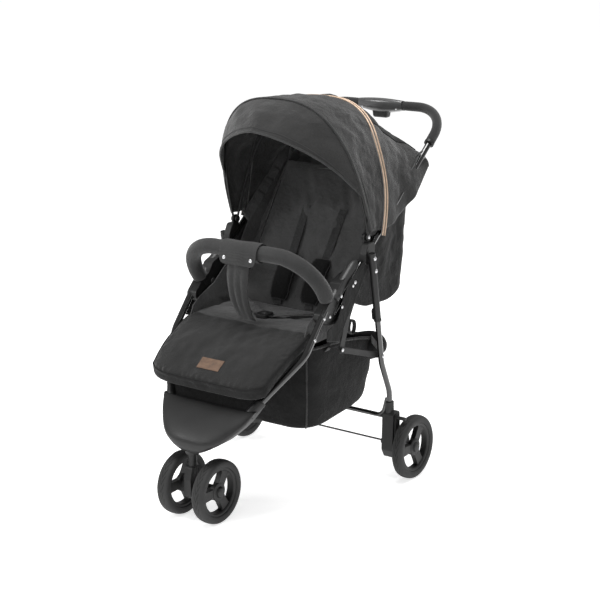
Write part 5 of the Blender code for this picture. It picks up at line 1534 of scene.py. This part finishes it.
def basket_place(u, v):
    """Floor of the basket for v up to 0.25, then its sagging wall up to the rim."""
    a = math.tau * u + math.pi / 2
    if v < 0.25:
        f = v / 0.25
        edge = basket_ring(RINGS, 0.0, a)
        centre = Vector((0, 0.1075, 0.2125))
        p = centre.lerp(edge, f)
        p.z -= 0.004 * (1 - f * f)
        return p
    t = (v - 0.25) / 0.75
    p = basket_ring(RINGS, t, a)
    out = Vector((p.x, p.y - 0.12, 0)).normalized()
    crease = ruffle(p, 9.0, 0.0100, 21.0) + ruffle(p, 26.0, 0.0036, 22.0)
    belly = 0.004 * math.sin(math.pi * t)
    return p + out * (crease + belly) * math.sin(math.pi * min(1.0, t * 1.02)) ** 0.5 * 0.8


bag = grid_bm(basket_place, 168, 56, 1.30, 0.40)
bmesh.ops.remove_doubles(bag, verts=bag.verts, dist=2e-5)
bmesh.ops.recalc_face_normals(bag, faces=bag.faces)
bag = finish_piece("basket_cloth", bag, BAG_CLOTH, "main_frame", "basket", wall=0.0018,
                   sharp=80)
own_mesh(bag)
rim = [basket_ring(RINGS, 1.0, math.tau * k / 160) for k in range(160)]
piece = finish_piece("basket_rim_binding", tube_bm(rim, 0.0042, 12, closed=True), BINDING, "main_frame")
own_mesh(piece)
for s, letter in SIDES:
    angle = math.atan2(-1, s)
    corner = [basket_ring(RINGS, k / 40, angle) + Vector((s * 0.001, -0.001, 0)) for k in range(41)]
    piece = finish_piece("basket_corner_seam_" + letter, tube_bm(corner, 0.0022, 8), BINDING, "main_frame")
    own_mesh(piece)
    loop = [Vector((s * 0.1905, 0.030, 0.412)), Vector((s * 0.2000, 0.030, 0.424)),
            Vector((s * 0.2270, 0.030, 0.4300)), Vector((s * 0.2360, 0.030, 0.4240))]

    def front_strap(u, v, line=loop, lengths=measure(loop)):
        """Strap from the basket's rim out to the side of the frame."""
        return at_length(line, lengths, v) + Vector((0, (u - 0.5) * 0.020, 0))

    web = leaf_bm(front_strap, 3, 24, 0.02, 0.05, 0.0018)
    finish_piece("basket_front_strap_" + letter, web, WEBBING, "main_frame", sharp=60)
    line = [Vector((s * 0.1900, 0.2440, 0.3990)), Vector((s * 0.2150, 0.2180, 0.4000)),
            Vector((s * 0.2465, 0.1880, 0.4000))]

    def rear_strap(u, v, line=line, lengths=measure(line)):
        """Strap from the basket's rear corner forward and out to the rear leg."""
        return at_length(line, lengths, v) + Vector((0, 0, (u - 0.5) * 0.020))

    web = leaf_bm(rear_strap, 3, 24, 0.02, 0.05, 0.0018)
    piece = finish_piece("basket_rear_strap_" + letter, web, WEBBING, "main_frame",
                         sharp=60)
    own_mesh(piece)


def roll_place(u, v):
    """Rolled rear flap of the basket, between the rear legs."""
    x = 0.2270 * (1 - 2 * u)
    a = math.tau * v
    end = max(0.0, 1 - abs(1 - 2 * u) ** 9) ** 0.5
    hang = 0.012 * (1 - (1 - 2 * u) ** 2)
    p = Vector((x, 0.2600 + 0.042 * math.cos(a) * end, 0.3760 - hang + 0.038 * math.sin(a) * end))
    crease = ruffle((p.x * 0.6, p.y, p.z), 26.0, 0.0080, 51.0) + 0.0018 * math.sin(3 * a + 18 * p.x)
    return p + Vector((0, math.cos(a), math.sin(a))) * crease * end


roll = grid_bm(roll_place, 70, 40, 0.46, 0.16)
close_bm(roll)
piece = finish_piece("basket_rear_roll", roll, BAG_CLOTH, "main_frame", sharp=70)
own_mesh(piece)


# leg rest
def rest_point(u, v):
    """Middle surface of the leg rest and its normal slope, u from -1 to 1, v from 0 at the seat."""
    half = 0.199 - 0.004 * v - 0.011 * v * v
    lift = abs(u) ** 7 * 0.022 * max(0.0, v - 0.6) / 0.4
    y = -0.0481 - 0.2015 * v + lift
    z = 0.4675 - 0.006 * (1 - u * u) * (1 - v) - 0.058 * v - 0.051 * v * v + lift / 2
    angle = math.atan2(0.058 + 0.102 * v, 0.2015)
    return Vector((half * u, y, z)), Vector((0, -math.sin(angle), math.cos(angle)))


def rest_place(u, v, w):
    """Padded leg rest: crowned top with puckers by the seam, and an upright front face."""
    f = (v + 1) / 2
    p, up = rest_point(u, f)
    edge = max(abs(u), v)
    top = 0.0150 + 0.0050 * (1 - abs(u) ** 3) * math.sin(math.pi * f) ** 0.7
    top -= 0.0045 * max(0.0, (edge - 0.94) / 0.06) ** 2
    soft = ruffle((p.x, p.y, 0), 12.0, 0.0050, 31.0) + ruffle((p.x, p.y, 0), 34.0, 0.0022, 32.0)
    top += soft * (1 - edge ** 8)
    pucker = math.exp(-((edge - 0.955) / 0.03) ** 2) * 0.0030
    top += pucker * (ruffle((p.x, p.y, 3.0), 95.0, 1.6, 33.0) - 0.2)
    low = 0.0130 + 0.0060 * f - 0.004 * max(0.0, (edge - 0.94) / 0.06) ** 2
    share = min(1.0, max(0.0, (f - 0.70) / 0.30))
    down = (-up).lerp(Vector((0, -0.12, -1.0)), share * share * (3 - 2 * share))
    p += up * top * w if w > 0 else down * (low + 0.003 * share) * abs(w)
    if v > 0.999 and abs(w) < 0.95:
        p.y -= 0.0030 * (1 - w * w)
    return p


rest = finish_piece("leg_rest_pad", block_bm(rest_place, (84, 48, 6)), PAD_CLOTH, "leg_rest", "leg_rest",
                    smooth=1, sharp=80)


def seam_round(height, inset=0.0):
    """Line round the sides and front of the leg rest, at a height in its thickness."""
    line = [(-1.0, k / 24 * 2 - 1) for k in range(25)]
    line += [(-1.0 + k / 48 * 2, 1.0) for k in range(1, 48)]
    line += [(1.0, 1 - k / 24 * 2) for k in range(25)]
    out = []
    for u, v in line:
        p = rest_place(u, v, height)
        out.append(p + (p - Vector((0, -0.13, p.z))).normalized() * -inset)
    return out


BAND_ROWS = 8
levels = [seam_round(0.86 - 1.74 * k / BAND_ROWS) for k in range(BAND_ROWS + 1)]


def band_place(u, v):
    """Gusset strip round the sides and front of the leg rest, a little proud of the pad."""
    line = levels[round(v * BAND_ROWS)]
    p = line[round(u * (len(line) - 1))]
    way = Vector((p.x, p.y + 0.12, 0)).normalized()
    bulge = 0.0014 + 0.0020 * math.sin(math.pi * v) + ruffle(p, 40.0, 0.0030, 34.0) * math.sin(math.pi * v)
    return p + way * bulge


band = leaf_bm(band_place, len(levels[0]) - 1, BAND_ROWS, 0.80, 0.028, 0.0012)
finish_piece("leg_rest_band", band, SKIRT_CLOTH, "leg_rest", sharp=70)
finish_piece("leg_rest_seam", tube_bm(seam_round(0.93, -0.0016), 0.0016, 10), DARK_THREAD, "leg_rest")
finish_piece("leg_rest_lower_seam", tube_bm(seam_round(-0.95, 0.0010), 0.0012, 8), BINDING, "leg_rest")


TAG_START, TAG_LENGTH = 0.730, 0.140
TAG_HALF = 0.036


def tag_place(u, v):
    """Plain leather tag on the front of the leg rest."""
    f = TAG_START + TAG_LENGTH * v
    p, up = rest_point((u - 0.5) * 2 * TAG_HALF / 0.19, f)
    return p + up * (0.0163 + 0.0050 * math.sin(math.pi * f) ** 0.7)


tag = leaf_bm(tag_place, 24, 16, 2 * TAG_HALF, 0.030, 0.0014)
finish_piece("leg_rest_tag", tag, LEATHER, "leg_rest", "leg_label", bevel=0.0003, sharp=60)

# studio
bpy.ops.mesh.primitive_plane_add(size=400.0, location=(0, 0, 0))
floor = bpy.context.active_object
floor.name = "studio_floor"
paper = Finish("studio_paper", (0.90, 0.90, 0.90), 0.85, Specular_IOR_Level=0.1,
               Emission_Color=(1.0, 1.0, 1.0, 1.0), Emission_Strength=0.66)
paper.set("Base Color", paper.shades(paper.grain(0.4, 2.0), (0.0, grey(0.88)), (1.0, grey(0.90))))
floor.data.materials.append(paper.material)

camera = bpy.data.objects.new("camera", bpy.data.cameras.new("camera"))
bpy.context.scene.collection.objects.link(camera)
camera.location = (2.2996, -3.1074, 1.4868)
camera.rotation_euler = Vector((-0.57037, 0.78360, -0.24627)).to_track_quat("-Z", "Y").to_euler()
camera.data.lens = 87.23
camera.data.sensor_width = 36.0
camera.data.dof.use_dof = False
bpy.context.scene.camera = camera


def lamp(name, place, energy, size, aim=(0.0, 0.0, 0.5)):
    """Square area light aimed at the object."""
    light = bpy.data.lights.new(name, "AREA")
    light.energy = energy
    light.size = size
    made = bpy.data.objects.new(name, light)
    made.location = place
    made.rotation_euler = (Vector(aim) - Vector(place)).to_track_quat("-Z", "Y").to_euler()
    bpy.context.scene.collection.objects.link(made)


lamp("top_light", (0.0, -0.5, 4.2), 150.0, 1.9, (0.0, 0.0, 0.6))
lamp("key_light", (-2.4, -3.0, 2.4), 46.0, 1.0)
lamp("front_light", (0.6, -3.8, 1.3), 12.0, 1.6, (0.0, 0.1, 0.75))
lamp("side_light", (3.4, -0.2, 2.0), 5.0, 1.0)
lamp("back_light", (0.6, 3.4, 2.6), 32.0, 1.6)
world = bpy.data.worlds.new("studio_world")
world.use_nodes = True
world.node_tree.nodes["Background"].inputs["Color"].default_value = (1.0, 1.0, 1.0, 1.0)
world.node_tree.nodes["Background"].inputs["Strength"].default_value = 0.40
bpy.context.scene.world = world
bpy.context.scene.view_settings.view_transform = "Standard"
